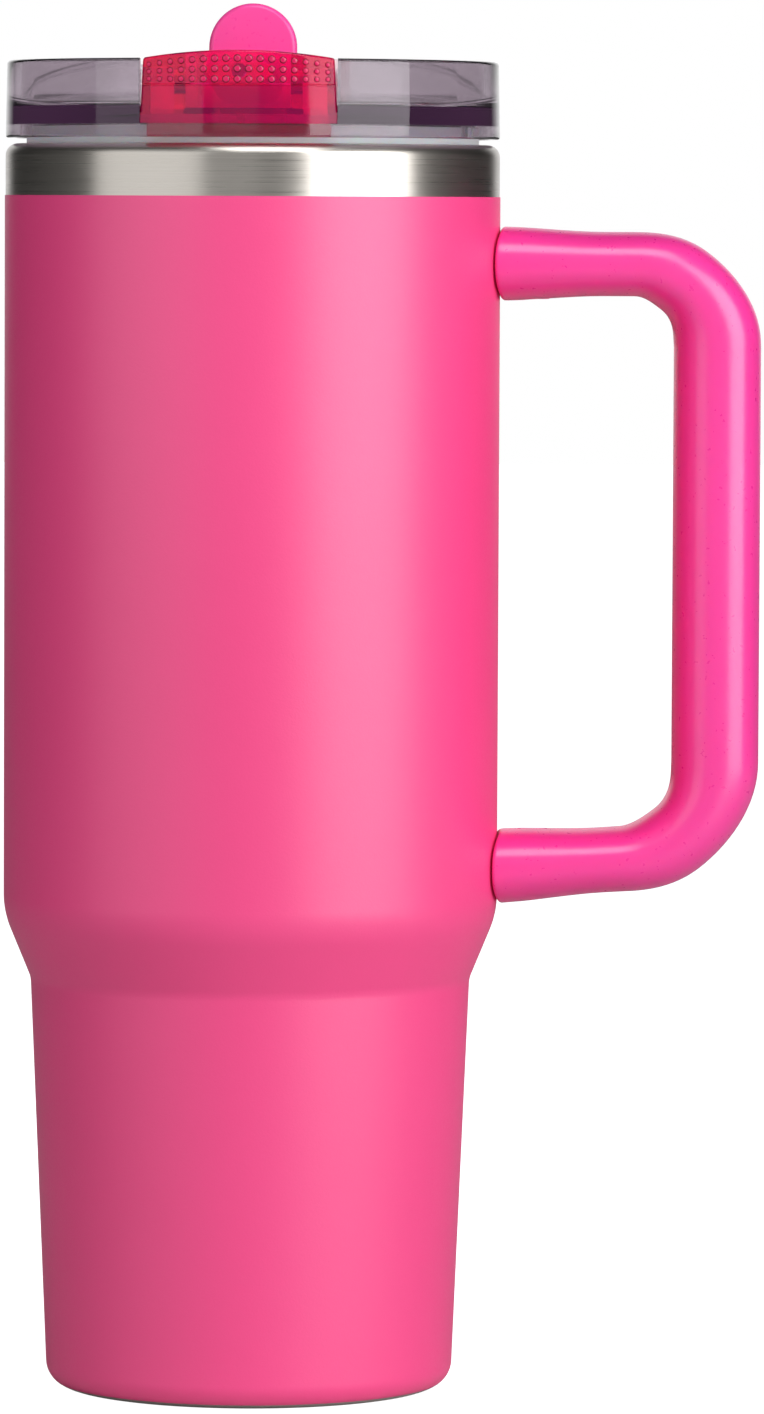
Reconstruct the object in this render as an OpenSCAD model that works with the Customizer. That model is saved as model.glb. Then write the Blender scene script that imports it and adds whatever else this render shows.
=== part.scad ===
// Vacuum insulated tumbler with a screw lid, a fold-down straw spout and a side handle.
// Millimetres. +Z is up, the origin is the centre of the foot ring, +X points to the handle,
// and -Y is the front, where the spout guard meets the lid rim.

/* [Cup] */
// Outer diameter of the upper body, over the coating
body_d = 98; // [80:0.5:120]
// Step inwards from the upper body to the waist, in radius
shoulder_step = 5.4; // [3:0.1:8]
// Taper of the lower body from the waist to the foot, in radius
foot_taper = 3.4; // [0:0.1:6]
// Height of the cup, from the table to the steel lip
cup_h = 246.5; // [200:0.5:300]
// Height of the waist above the table
waist_h = 81.4; // [60:0.2:104]
// Height of the shoulder between waist and upper body
shoulder_h = 13.1; // [12:0.1:20]
// Radius between foot and wall
foot_radius = 5; // [4:0.5:7]
// Thickness of the outer steel wall
shell_t = 0.7; // [0.5:0.05:1]
// Thickness of the inner steel wall
liner_t = 0.6; // [0.4:0.05:0.8]
// Width of the vacuum space between the walls
vacuum_gap = 2.4; // [1.8:0.1:3]
// Thickness of the powder coating
coat_t = 0.15; // [0.1:0.01:0.2]
// Height of the bare steel band under the lip
band_h = 10.2; // [6:0.2:14]

/* [Lid] */
// Height of the lid rim above its lower edge
lid_h = 15.2; // [14.5:0.1:20]
// Gap between the cup lip and the lid's lower edge
lid_gap = 1.1; // [0.6:0.1:2]
// Thickness of the lid rim wall
rim_t = 2.6; // [2:0.1:3.4]
// Height of the lid floor's underside above the lid's lower edge
floor_rise = 2.6; // [2:0.1:4]
// Thickness of the lid floor
floor_t = 3.6; // [3:0.1:4.4]
// Slope of the bead inside the tray's wall towards the front, in degrees
bead_slope = 4.2; // [0:0.1:5]
// Depth of the threaded plug below the cup lip
plug_depth = 14; // [13:0.5:18]
// Wall thickness of the threaded plug
plug_t = 2.2; // [1.8:0.1:3]
// Height that the lid climbs in one turn
thread_lead = 5; // [4.5:0.1:6]
// Angle by which the tightened lid's front stands left of the cup's front
lid_angle = 2.7; // [0:0.1:10]

/* [Spout] */
// Width of the spout guard
guard_w = 38; // [34:0.5:46]
// Width of the channel that the spout folds into
channel_w = 20; // [19:0.5:23]
// Height of the guard's crown above the lid rim
crown_h = 1.5; // [0.6:0.1:2]
// Radius of the spout's hub
hub_r = 6; // [5:0.1:7]
// Width of the thumb tab
tab_w = 17.4; // [14:0.2:18]
// Height of the thumb tab above the axle
tab_h = 16; // [12.4:0.1:20]
// Width of the mouthpiece
mouth_w = 13; // [11:0.5:16]
// Height of the mouthpiece where it joins the hub's neck
mouth_h = 8.4; // [7.8:0.1:9.4]
// Height of the mouthpiece at its tip
tip_h = 4.4; // [3.6:0.1:6]
// Diameter of the drinking bore
bore_d = 4.8; // [4:0.1:5.2]
// Outer diameter of the straw
straw_d = 8; // [6.6:0.1:9.6]
// Wall thickness of the straw
straw_t = 0.8; // [0.6:0.1:1.2]

/* [Handle] */
// Width of the handle, front to back
handle_w = 26; // [20:0.5:31]
// Thickness of the arms where they meet the cup
arm_t = 14.6; // [12:0.1:18]
// Thickness of the upright grip
grip_t = 17.2; // [14:0.2:21]
// Distance from the cup's side to the middle of the grip
reach = 43.1; // [36:0.5:52]
// Distance of the upper arm's middle below the cup's lip
upper_arm_drop = 23.3; // [20:0.1:50]
// Rise of the upper arm from the cup to the corner
upper_arm_rise = 0; // [0:0.1:4]
// Height of the lower arm's middle above the shoulder
lower_arm_height = 8.9; // [8:0.1:30]
// Rise of the lower arm from the cup to the corner
lower_arm_rise = 3; // [0:0.5:6]
// Bend radius at the handle's upper corner
upper_bend_r = 16.5; // [12:0.5:21]
// Bend radius at the handle's lower corner
lower_bend_r = 19.5; // [12:0.5:24]

/* [Hidden] */

$fn = 96;
arc_steps = 7;      // points on each rounded corner of an outline
touch = 0.01;       // how far a cutting shape runs past a face
seat_clear = 0.1;   // between pieces that are seated in each other
slide_clear = 0.2;  // between the gasket and what it slides in
turn_clear = 0.25;  // between the gasket and the lid that turns in it

// Cup radii
cup_r = body_d / 2;
shell_r = cup_r - coat_t;
liner_inset = coat_t + shell_t + vacuum_gap;
liner_r = cup_r - liner_inset;
mouth_r = liner_r - liner_t;
waist_r = cup_r - shoulder_step;
foot_r = waist_r - foot_taper;
shoulder_z = waist_h + shoulder_h;
waist_fillet = 6;
shoulder_fillet = 18;
lip_fillet = 2.4;
hem_r = foot_r - foot_radius - 2;
hem_h = 1.8;
coat_edge_z = 0.8;
liner_floor_z = 9;
liner_fillet = 8;
base_lift = hem_h - shell_t;
dish_r = 10;
dish_rise = 1.5;
seal_hole_r = 1.5;
cap_t = 0.6;
getter_r = 5;
getter_t = 1.4;
getter_x = 18;
clip_t = 0.3;
clip_flange = 2;

// Lid radii and heights
lid_r = cup_r - 0.1;
rim_draft = 0.3;
rim_fillet = 0.7;
lid_z = cup_h + lid_gap;
lid_top = lid_z + lid_h;
floor_z = lid_z + floor_rise;
floor_top = floor_z + floor_t;
tray_r = lid_r - rim_draft - rim_t;
tray_fillet = 1;
tray_dish = 0.8;
bead_mid_z = floor_top + 2.6;
bead_h = 0.9;
bead_w = 0.9;
skirt_r = lid_r - 2.4;
plug_r = mouth_r - 1.45;
plug_z = cup_h - plug_depth;
rib_angles = [24, 156, 204, 336];
rib_w = 2.2;
rib_depth = 1.1;

// Thread: the lid's ridge and the liner's ridge are half a lead apart
ridge_h = 1.15;
ridge_foot = 1.1;
ridge_crest = 0.5;
ridge_root = 0.35;
thread_step = 6;
lid_thread_z = plug_z + 1.5;
liner_thread_z = lid_thread_z + thread_lead / 2;

// Gasket
gasket_ri = plug_r + turn_clear;
gasket_ro = mouth_r - slide_clear;
gasket_z = cup_h - 3.4;
thread_turns = (gasket_z - 0.3 - ridge_foot - liner_thread_z) / thread_lead;
gasket_top = floor_z - turn_clear;
fin_h = 0.8;

// Spout guard
guard_z = floor_top - 1.8;
guard_back = 13;
guard_wall = 2.2;
guard_floor = 1.2;
guard_draft = 0.6;
guard_fillet = 5;
guard_step = 0.2;       // the dotted band stands this far in front of the face below it
guard_step_rise = 5.7;
tongue_ri = mouth_r + 0.1;
tongue_ro = skirt_r - 0.2;
tongue_w = 35;
tongue_z = lid_z + 0.4;
crown_drop = 1.5;
crown_r = (pow(guard_w / 2, 2) + pow(crown_drop, 2)) / (2 * crown_drop);
guard_top = lid_top + crown_h;
front_wall = 2.4;
axle_z = guard_z + hub_r + 0.3;
axle_r = 2;
axle_clear = 0.05;
hub_clear = 0.4;
seal_r = hub_r + 0.5;
seal_fit = 0.15;
seal_t = 3;
tab_t = 3;
neck_w = 11;
neck_h = 7.4;
neck_l = 10;
spigot_r = 3.4;
spigot_l = 8;
mouth_reach = lid_r - rim_draft - front_wall - 2.4;

// Straw and its socket
sleeve_t = 1;
boss_t = 1.4;
boss_r = max(straw_d / 2 + sleeve_t, seal_r) + seat_clear + boss_t;
port_shelf = 1.5;
seal_seat_z = guard_z - seal_t;
sleeve_l = 9;
straw_top = seal_seat_z - port_shelf;
straw_foot = liner_floor_z + liner_t + 2;
notch_r = 1.6;
vent_inset = 12.7;
vent_y = plug_r - plug_t - vent_inset;
vent_hole_r = 0.7;
vent_flap_r = 4.6;
stem_r = 1.2;

// Handle
handle_gap = 0.4;
arm_inner = cup_r + handle_gap;
grip_x = cup_r + reach;
upper_arm_z = cup_h - upper_arm_drop;
lower_arm_z = shoulder_z + lower_arm_height;
corner_t = arm_t;
arm_waist_t = arm_t - 1.9;
section_power = 2.5;
section_points = 32;
lug_w = 12;
lug_l = 11;
socket_clear = 0.2;
screw_r = 1.5;
screw_x = cup_r + 7;
head_r = 2.8;
head_t = 1.5;
head_clear = 0.1;
seat_t = 1;
plug_button_t = 0.8;
plug_sink = 0.15;
plug_gap = 0.25;

// ---- outline helpers ----

function unit(v) = v / norm(v);
function turned(v, a) = [v.x * cos(a) - v.y * sin(a), v.x * sin(a) + v.y * cos(a)];

// Points of an arc of radius r that rounds the corner b between a and c
function corner(a, b, c, r) =
    let (
        u = unit(a - b),
        v = unit(c - b),
        half = acos(u * v) / 2,
        start = b + u * r / tan(half),
        centre = b + unit(u + v) * r / sin(half),
        side = cross(u, v) > 0 ? -1 : 1
    )
    [for (i = [0 : arc_steps]) centre + turned(start - centre, side * (180 - 2 * half) * i / arc_steps)];

// An outline whose points are [x, y, radius]; a radius of 0 keeps the corner sharp
function rounded(p) =
    let (n = len(p))
    [for (i = [0 : n - 1])
        let (
            b = [p[i][0], p[i][1]],
            before = p[(i + n - 1) % n],
            after = p[(i + 1) % n],
            a = [before[0], before[1]],
            c = [after[0], after[1]]
        )
        each p[i][2] > 0 ? corner(a, b, c, p[i][2]) : [b]];

module turned_profile(p) {
    rotate_extrude()
        polygon(rounded(p));
}

module tube(r_out, r_in, z0, z1) {
    translate([0, 0, z0])
        difference() {
            cylinder(r = r_out, h = z1 - z0);
            translate([0, 0, -touch])
                cylinder(r = r_in, h = z1 - z0 + 2 * touch);
        }
}

module along_x(r, x0, x1, z) {
    translate([x0, 0, z])
        rotate([0, 90, 0])
            cylinder(r = r, h = x1 - x0);
}

module along_y(r, y0, y1, z) {
    translate([0, y1, z])
        rotate([90, 0, 0])
            cylinder(r = r, h = y1 - y0);
}

// A helical ridge of trapezoid section; side is 1 for a ridge that stands outwards and -1 inwards
module ridge(r, z, side) {
    steps = round(360 * thread_turns / thread_step);
    section = [
        [-ridge_root, -ridge_foot], [ridge_h, -ridge_crest],
        [ridge_h, ridge_crest], [-ridge_root, ridge_foot]
    ];
    // the ridge grows out of the wall over its first and last 30 degrees
    function grown(i) = min(1, 0.12 + min(i, steps - i) * thread_step / 30);
    points = [
        for (i = [0 : steps]) for (s = section)
            let (
                a = i * thread_step,
                out = s[0] > 0 ? s[0] * grown(i) : s[0],
                q = r + side * out
            )
            [q * cos(a), q * sin(a), z + thread_lead * a / 360 + s[1]]
    ];
    last = 4 * steps;
    faces = [
        [3, 2, 1, 0],
        [last, last + 1, last + 2, last + 3],
        for (i = [0 : steps - 1]) for (k = [0 : 3])
            let (a = 4 * i + k, b = 4 * i + (k + 1) % 4)
            [a, b, b + 4, a + 4]
    ];
    polyhedron(points, side > 0 ? faces : [for (f = faces) [for (k = [len(f) - 1 : -1 : 0]) f[k]]]);
}

// ---- cup ----

// Outer line of the cup wall, set in by a distance, from the foot up to a height
function wall_line(inset, foot_z, foot_fillet, top_z) = [
    [foot_r - inset, foot_z, foot_fillet],
    [waist_r - inset, waist_h, waist_fillet + inset],
    [cup_r - inset, shoulder_z, shoulder_fillet - inset],
    [cup_r - inset, top_z, 0]
];

function reversed(p) = [for (i = [len(p) - 1 : -1 : 0]) p[i]];

module outer_shell() {
    outer = wall_line(coat_t, 0, foot_radius - coat_t, cup_h);
    inner = wall_line(coat_t + shell_t, shell_t, foot_radius - coat_t - shell_t, cup_h - shell_t);
    lip_inner = [cup_r - coat_t - shell_t, cup_h - shell_t, lip_fillet - shell_t];
    color("silver")
        turned_profile(concat(
            [[hem_r, 0, 0]],
            [for (i = [0 : 2]) outer[i]],
            [[shell_r, cup_h, lip_fillet], [liner_r, cup_h, 0], [liner_r, cup_h - shell_t, 0], lip_inner],
            reversed([for (i = [0 : 2]) inner[i]]),
            [[hem_r + shell_t, shell_t, 0], [hem_r + shell_t, hem_h, 0], [hem_r, hem_h, 0]]
        ));
}

// Space of a handle lug, from the cup's axis outwards
module lug_block(z, grow) {
    translate([0, -lug_w / 2 - grow, z - lug_h / 2 - grow])
        cube([cup_r + lug_l + grow, lug_w + 2 * grow, lug_h + 2 * grow]);
}

module powder_coat() {
    top = cup_h - band_h;
    color("hotpink")
        difference() {
            turned_profile(concat([[0, 0, 0]], wall_line(0, 0, foot_radius, top), [[0, top, 0]]));
            turned_profile(concat(
                [[0, 0, 0]], wall_line(coat_t, 0, foot_radius - coat_t, cup_h), [[0, cup_h, 0]]
            ));
            translate([0, 0, -1])
                cylinder(r = foot_r + 1, h = 1 + coat_edge_z);
            lug_block(upper_arm_z, 0);
            lug_block(lower_arm_z, 0);
        }
}

module inner_liner() {
    outer = wall_line(liner_inset, liner_floor_z, liner_fillet, cup_h);
    inner = wall_line(liner_inset + liner_t, liner_floor_z + liner_t, liner_fillet - liner_t, cup_h);
    mouth_edge = [mouth_r, cup_h, liner_t * 0.8];
    color("gainsboro")
        union() {
            turned_profile(concat(
                [[0, liner_floor_z, 0]],
                [for (i = [0 : 3]) outer[i]],
                [mouth_edge],
                reversed([for (i = [0 : 2]) inner[i]]),
                [[0, liner_floor_z + liner_t, 0]]
            ));
            ridge(mouth_r, liner_thread_z, -1);
        }
}

module base_plate() {
    z = base_lift;
    color("silver")
        turned_profile([
            [seal_hole_r, z + dish_rise, 0], [dish_r, z + dish_rise, 0.8], [dish_r + 1, z, 0.8],
            [hem_r, z, 0], [hem_r, z + shell_t, 0], [dish_r + 1.6, z + shell_t, 0.8],
            [dish_r + 0.6, z + shell_t + dish_rise, 0.8], [seal_hole_r, z + shell_t + dish_rise, 0]
        ]);
}

module vacuum_seal() {
    color("dimgray")
        translate([0, 0, base_lift + dish_rise])
            cylinder(r = seal_hole_r, h = shell_t + 0.5);
}

module seal_cap() {
    color("silver")
        translate([0, 0, base_lift + dish_rise - cap_t])
            cylinder(r = dish_r - 1.2, h = cap_t);
}

module getter() {
    color("gray")
        translate([getter_x, 0, liner_floor_z - getter_t])
            cylinder(r = getter_r, h = getter_t);
}

module getter_clip() {
    cup_bottom = liner_floor_z - getter_t - clip_t;
    color("silver")
        translate([getter_x, 0, 0])
            turned_profile([
                [0, cup_bottom, 0], [getter_r + clip_t, cup_bottom, 0],
                [getter_r + clip_t, liner_floor_z - clip_t, 0],
                [getter_r + clip_flange, liner_floor_z - clip_t, 0],
                [getter_r + clip_flange, liner_floor_z, 0], [getter_r, liner_floor_z, 0],
                [getter_r, liner_floor_z - getter_t, 0], [0, liner_floor_z - getter_t, 0]
            ]);
}

// ---- handle ----

// side is -1 where the screw comes up from below the arm, and 1 where it goes down into it
module handle_lug(z, side) {
    color("silver")
        difference() {
            lug_block(z, 0);
            translate([0, 0, z - lug_h])
                cylinder(r = shell_r, h = 2 * lug_h);
            translate([screw_x, 0, z - lug_h])
                cylinder(r = screw_r, h = 2 * lug_h);
        }
}

// Middle line of the handle in the XZ plane: the two arms, the two bends and the grip between them
arm_start = cup_r - 5;
upper_start = [arm_start, upper_arm_z];
lower_start = [arm_start, lower_arm_z];
upper_corner = [grip_x, upper_arm_z + upper_arm_rise];
lower_corner = [grip_x, lower_arm_z + lower_arm_rise];
bend_steps = 8;
function bend(a, b, c, r) =
    let (
        u = unit(a - b),
        v = unit(c - b),
        half = acos(u * v) / 2,
        start = b + u * r / tan(half),
        centre = b + unit(u + v) * r / sin(half)
    )
    [for (i = [0 : bend_steps]) centre + turned(start - centre, -(180 - 2 * half) * i / bend_steps)];
upper_bend = bend(upper_start, upper_corner, lower_corner, upper_bend_r);
lower_bend = bend(upper_corner, lower_corner, lower_start, lower_bend_r);
arm_mid_x = cup_r + (grip_x - 17 - cup_r) * 0.55;
function on_arm(start, corner, x) = start + (corner - start) * (x - arm_start) / (grip_x - arm_start);
middle_line = concat(
    [upper_start, on_arm(upper_start, upper_corner, cup_r + 3), on_arm(upper_start, upper_corner, arm_mid_x)],
    upper_bend,
    [for (k = [1 : 5]) upper_bend[bend_steps] + (lower_bend[0] - upper_bend[bend_steps]) * k / 6],
    lower_bend,
    [on_arm(lower_start, lower_corner, arm_mid_x), on_arm(lower_start, lower_corner, cup_r + 3), lower_start]
);
line_count = len(middle_line);

// Thickness of the handle at a point of its middle line: thin at the arms' middles, full on the grip
function eased(t) = let (s = max(0, min(1, t))) s * s * (3 - 2 * s);
function arm_thickness(x) = arm_t + (arm_waist_t - arm_t) * eased((x - cup_r) / (arm_mid_x - cup_r + 6));
function thickness(p) =
    let (
        above = upper_corner.y - p.y,
        below = p.y - lower_corner.y,
        r = above < below ? upper_bend_r : lower_bend_r,
        to_corner = eased((p.x - (grip_x - r)) / (r * 0.6)),
        to_grip = eased((min(above, below) - r * 0.15) / (r * 0.75))
    )
    let (arm = arm_thickness(p.x) * (1 - to_corner) + corner_t * to_corner)
    arm * (1 - to_grip) + grip_t * to_grip;

// Half the arm's thickness at the screw, and the lug that leaves room for the head and its cover
screw_arm_t = arm_thickness(screw_x) / 2;
lug_h = 2 * (screw_arm_t - plug_sink - plug_button_t - plug_gap - head_t - seat_t - socket_clear);

// Half-size point of the rounded oval section at an angle
function oval(a, half_w, half_t) = [
    half_w * sign(cos(a)) * pow(abs(cos(a)), 2 / section_power),
    half_t * sign(sin(a)) * pow(abs(sin(a)), 2 / section_power)
];

module handle_sweep() {
    points = [
        for (i = [0 : line_count - 1])
            let (
                p = middle_line[i],
                before = middle_line[max(0, i - 1)],
                after = middle_line[min(line_count - 1, i + 1)],
                raw = unit(after - before),
                ahead = i == 0 || i == line_count - 1 ? [sign(raw.x), 0] : raw,
                outward = [-ahead.y, ahead.x],
                half_t = thickness(p) / 2
            )
            for (k = [0 : section_points - 1])
                let (q = oval(360 * k / section_points, handle_w / 2, half_t))
                [p.x + outward.x * q.y, q.x, p.y + outward.y * q.y]
    ];
    n = section_points;
    faces = [
        [for (k = [0 : n - 1]) k],
        [for (k = [n - 1 : -1 : 0]) (line_count - 1) * n + k],
        for (i = [0 : line_count - 2]) for (k = [0 : n - 1])
            let (a = i * n + k, b = i * n + (k + 1) % n)
            each [[a, a + n, b + n], [a, b + n, b]]
    ];
    polyhedron(points, faces);
}

// Everything that one screw needs, from the arm's face to the lug: side as for handle_lug
module screw_space(z, side) {
    translate([screw_x, 0, z])
        rotate([side > 0 ? 0 : 180, 0, 0])
            translate([0, 0, lug_h / 2]) {
                translate([0, 0, -touch])
                    cylinder(r = screw_r + head_clear, h = 2 * seat_t);
                translate([0, 0, socket_clear + seat_t])
                    cylinder(r = head_r + head_clear, h = arm_t);
            }
}

module handle() {
    color("deeppink")
        difference() {
            handle_sweep();
            translate([0, 0, lower_arm_z - arm_t])
                cylinder(r = arm_inner, h = upper_arm_z - lower_arm_z + 2 * arm_t, $fn = 180);
            lug_block(upper_arm_z, socket_clear);
            lug_block(lower_arm_z, socket_clear);
            screw_space(upper_arm_z, -1);
            screw_space(lower_arm_z, 1);
        }
}

module handle_screw(z, side) {
    translate([screw_x, 0, z])
        rotate([side > 0 ? 0 : 180, 0, 0])
            difference() {
                union() {
                    translate([0, 0, -lug_h / 2 + 0.6])
                        cylinder(r = screw_r, h = lug_h - 0.6 + socket_clear + seat_t);
                    translate([0, 0, lug_h / 2 + socket_clear + seat_t])
                        cylinder(r = head_r, h = head_t);
                }
                translate([0, 0, lug_h / 2 + socket_clear + seat_t + head_t - 1])
                    cylinder(r = 1.2, h = 2, $fn = 6);
            }
}

module handle_screws() {
    color("silver") {
        handle_screw(upper_arm_z, -1);
        handle_screw(lower_arm_z, 1);
    }
}

module screw_plug(z, side) {
    translate([screw_x, 0, z])
        rotate([side > 0 ? 0 : 180, 0, 0])
            translate([0, 0, screw_arm_t - plug_button_t - plug_sink])
                cylinder(r = head_r + head_clear, h = plug_button_t);
}

module screw_plugs() {
    color("deeppink") {
        screw_plug(on_arm(upper_start, upper_corner, screw_x).y, -1);
        screw_plug(on_arm(lower_start, lower_corner, screw_x).y, 1);
    }
}

// ---- lid ----

module lid_gasket() {
    fin_mid = (gasket_z + cup_h) / 2;
    color("white")
        turned_profile([
            [gasket_ri, gasket_z, 0], [gasket_ro - 0.25, gasket_z, 0],
            [gasket_ro - 0.25, fin_mid - fin_h / 2, 0], [gasket_ro, fin_mid, 0],
            [gasket_ro - 0.25, fin_mid + fin_h / 2, 0], [gasket_ro - 0.25, gasket_top, 0],
            [gasket_ri, gasket_top, 0]
        ]);
}

// Footprint of the guard, grown by a clearance, as a column from z0 to z1
module guard_column(grow, z0, z1) {
    half = guard_w / 2 + grow;
    back = guard_back + grow;
    translate([0, 0, z0])
        linear_extrude(z1 - z0)
            polygon(rounded([
                [-half, -cup_r - 2, 0], [half, -cup_r - 2, 0],
                [half, back, guard_fillet], [-half, back, guard_fillet]
            ]));
}

// Lower edge of the guard's front, which stands on the lid's skirt in front of the gasket
module guard_foot(grow, z0, z1) {
    intersection() {
        guard_column(grow, z0, z1);
        tube(grow > 0 ? cup_r + 1 : lid_r - 0.1 - guard_step, tongue_ri - grow, z0 - touch, z1 + touch);
    }
}

// The guard's tongue, which hangs through a slot in the lid floor behind the lid's edge
module guard_tongue(grow, z0, z1) {
    intersection() {
        tube(tongue_ro + grow, tongue_ri - grow, z0, z1);
        translate([-tongue_w / 2 - grow, -cup_r, z0])
            cube([tongue_w + 2 * grow, cup_r, z1 - z0]);
    }
}

module lid_body_profile() {
    turned_profile([
        [0, floor_z, 0], [plug_r - plug_t, floor_z, 1], [plug_r - plug_t, plug_z, 0.6],
        [plug_r, plug_z, 0.6], [plug_r, floor_z, 0], [skirt_r, floor_z, 0],
        [skirt_r, lid_z, 0.5], [lid_r, lid_z, 0.5],
        [lid_r - rim_draft, lid_top, rim_fillet], [tray_r, lid_top, 0.8],
        [tray_r, floor_top, tray_fillet], [0, floor_top - tray_dish, 0]
    ]);
}

// A low bead inside the tray's wall, high at the back and sinking into the floor at the front
module tray_bead() {
    translate([0, 0, bead_mid_z])
        rotate([bead_slope, 0, 0])
            tube(tray_r + 1, tray_r - bead_w, -bead_h, 0);
}

module straw_boss() {
    translate([0, 0, plug_z])
        cylinder(r = boss_r, h = floor_z - plug_z + 1);
}

module groove_rib(a) {
    rotate([0, 0, a])
        translate([skirt_r - rib_depth, -rib_w / 2, lid_z + 0.4])
            cube([rib_depth + 0.6, rib_w, floor_z - lid_z + 0.4]);
}

module vent_holes() {
    translate([0, vent_y, plug_z])
        cylinder(r = stem_r + seat_clear, h = lid_h + plug_depth);
    for (side = [-1, 1])
        translate([side * 2.6, vent_y, plug_z])
            cylinder(r = vent_hole_r, h = lid_h + plug_depth);
}

module lid_shell() {
    color("lightslategray", 0.5)
        rotate([0, 0, -lid_angle]) difference() {
            union() {
                lid_body_profile();
                tray_bead();
                ridge(plug_r, lid_thread_z, 1);
                straw_boss();
                for (a = rib_angles)
                    groove_rib(a);
            }
            guard_column(seat_clear, guard_z, lid_top + 2);
            guard_foot(seat_clear, floor_z, guard_z + touch);
            guard_tongue(seat_clear, floor_z - 1, guard_z + 1);
            translate([0, 0, seal_seat_z])
                cylinder(r = seal_r + seat_clear, h = lid_h);
            translate([0, 0, straw_top - touch])
                cylinder(r = bore_d / 2, h = port_shelf + 2 * touch);
            translate([0, 0, plug_z - touch])
                cylinder(r = straw_d / 2 + sleeve_t + seat_clear, h = straw_top - plug_z + touch);
            vent_holes();
        }
}

// The guard's two sides, which lean inwards towards the top
module guard_flanks() {
    low = guard_w / 2;
    high = low - guard_draft;
    translate([0, guard_back + 1, 0])
        rotate([90, 0, 0])
            linear_extrude(cup_r + guard_back + 2)
                polygon([
                    [-low, guard_z - touch], [low, guard_z - touch],
                    [high, guard_top + touch], [-high, guard_top + touch]
                ]);
}

module spout_guard() {
    channel = channel_w / 2;
    front = lid_r - rim_draft - front_wall;
    hollow_x = channel + guard_wall;
    hollow_w = guard_w / 2 - guard_wall - hollow_x;
    hollow_top = lid_top - 2 - guard_z;
    step_z = guard_z + guard_step_rise;
    face_r = lid_r - 0.1;
    color("crimson", 0.7)
        rotate([0, 0, -lid_angle]) difference() {
            union() {
                intersection() {
                    guard_column(0, guard_z, guard_top + 1);
                    turned_profile([
                        [0, guard_z, 0], [face_r - guard_step, guard_z, 0],
                        [face_r - guard_step, step_z, 0], [face_r, step_z, 0],
                        [lid_r - rim_draft, guard_top + 0.4, 1.6], [0, guard_top + 0.4, 0]
                    ]);
                    along_y(crown_r, -cup_r - 1, guard_back + 1, guard_top - crown_r);
                    guard_flanks();
                }
                guard_foot(0, floor_z + seat_clear, guard_z + touch);
                guard_tongue(0, tongue_z, guard_z + 1);
            }
            // channel for the folded spout, open upwards and to the back
            translate([-channel, 0, guard_z + guard_floor])
                cube([channel_w, guard_back + 1, guard_top]);
            intersection() {
                translate([-channel, -cup_r, guard_z + guard_floor])
                    cube([channel_w, cup_r + touch, guard_top]);
                translate([0, 0, guard_z])
                    cylinder(r = front, h = lid_h);
            }
            // room for the hub and the seal under it
            along_x(hub_r + hub_clear, -channel, channel, axle_z);
            translate([0, 0, guard_z - touch])
                cylinder(r = seal_r + seat_clear, h = guard_floor + 2 * touch);
            along_x(axle_r + axle_clear, -hollow_x - touch, hollow_x + touch, axle_z);
            // hollow shoulders, open below
            for (side = [-1, 1])
                intersection() {
                    translate([side > 0 ? hollow_x : -hollow_x - hollow_w, -cup_r, guard_z - touch])
                        cube([hollow_w, cup_r + guard_back - guard_wall, hollow_top]);
                    translate([0, 0, guard_z - 1])
                        cylinder(r = front, h = lid_h);
                }
        }
}

module spout_seal() {
    color("whitesmoke")
        rotate([0, 0, -lid_angle]) difference() {
            translate([0, 0, seal_seat_z])
                cylinder(r = seal_r, h = seal_t + guard_floor);
            along_x(hub_r + seal_fit, -seal_r - 1, seal_r + 1, axle_z);
            translate([0, 0, seal_seat_z - touch])
                cylinder(r = bore_d / 2, h = 2 * seal_t);
        }
}

module straw_sleeve() {
    color("white")
        tube(straw_d / 2 + sleeve_t, straw_d / 2, straw_top - sleeve_l, straw_top);
}

module straw() {
    color("white", 0.6)
        rotate([0, 0, -lid_angle]) difference() {
            tube(straw_d / 2, straw_d / 2 - straw_t, straw_foot, straw_top);
            along_y(notch_r, -straw_d, straw_d, straw_foot);
            along_x(notch_r, -straw_d, straw_d, straw_foot);
        }
}

module vent_valve() {
    top = floor_top - tray_dish;
    color("white")
        rotate([0, 0, -lid_angle]) translate([0, vent_y, 0]) {
            turned_profile([
                [0, floor_z - 1, 0], [vent_flap_r, floor_z - 0.5, 0], [vent_flap_r, floor_z, 0],
                [stem_r, floor_z, 0], [stem_r, top + 0.9, 0], [stem_r + 0.7, top + 1.1, 0.3],
                [stem_r * 0.6, top + 2.6, 0.5], [0, top + 2.6, 0]
            ]);
        }
}

// ---- spout, drawn folded down into its channel ----

module flip_lever() {
    hub_half = channel_w / 2 - hub_clear;
    tab_round_z = axle_z + tab_h - tab_w / 2;
    color("hotpink")
        rotate([0, 0, -lid_angle]) difference() {
            union() {
                along_x(hub_r, -hub_half, hub_half, axle_z);
                along_x(axle_r, -channel_w / 2 - guard_wall + 0.3, channel_w / 2 + guard_wall - 0.3, axle_z);
                translate([-tab_w / 2, -tab_t / 2, axle_z])
                    cube([tab_w, tab_t, tab_round_z - axle_z]);
                along_y(tab_w / 2, -tab_t / 2, tab_t / 2, tab_round_z);
                translate([-neck_w / 2, -neck_l, axle_z - neck_h / 2])
                    cube([neck_w, neck_l, neck_h]);
                along_y(spigot_r, -neck_l - spigot_l, -neck_l + 1, axle_z);
            }
            along_y(bore_d / 2, -neck_l - spigot_l - 1, hub_r + 1, axle_z);
        }
}

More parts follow.
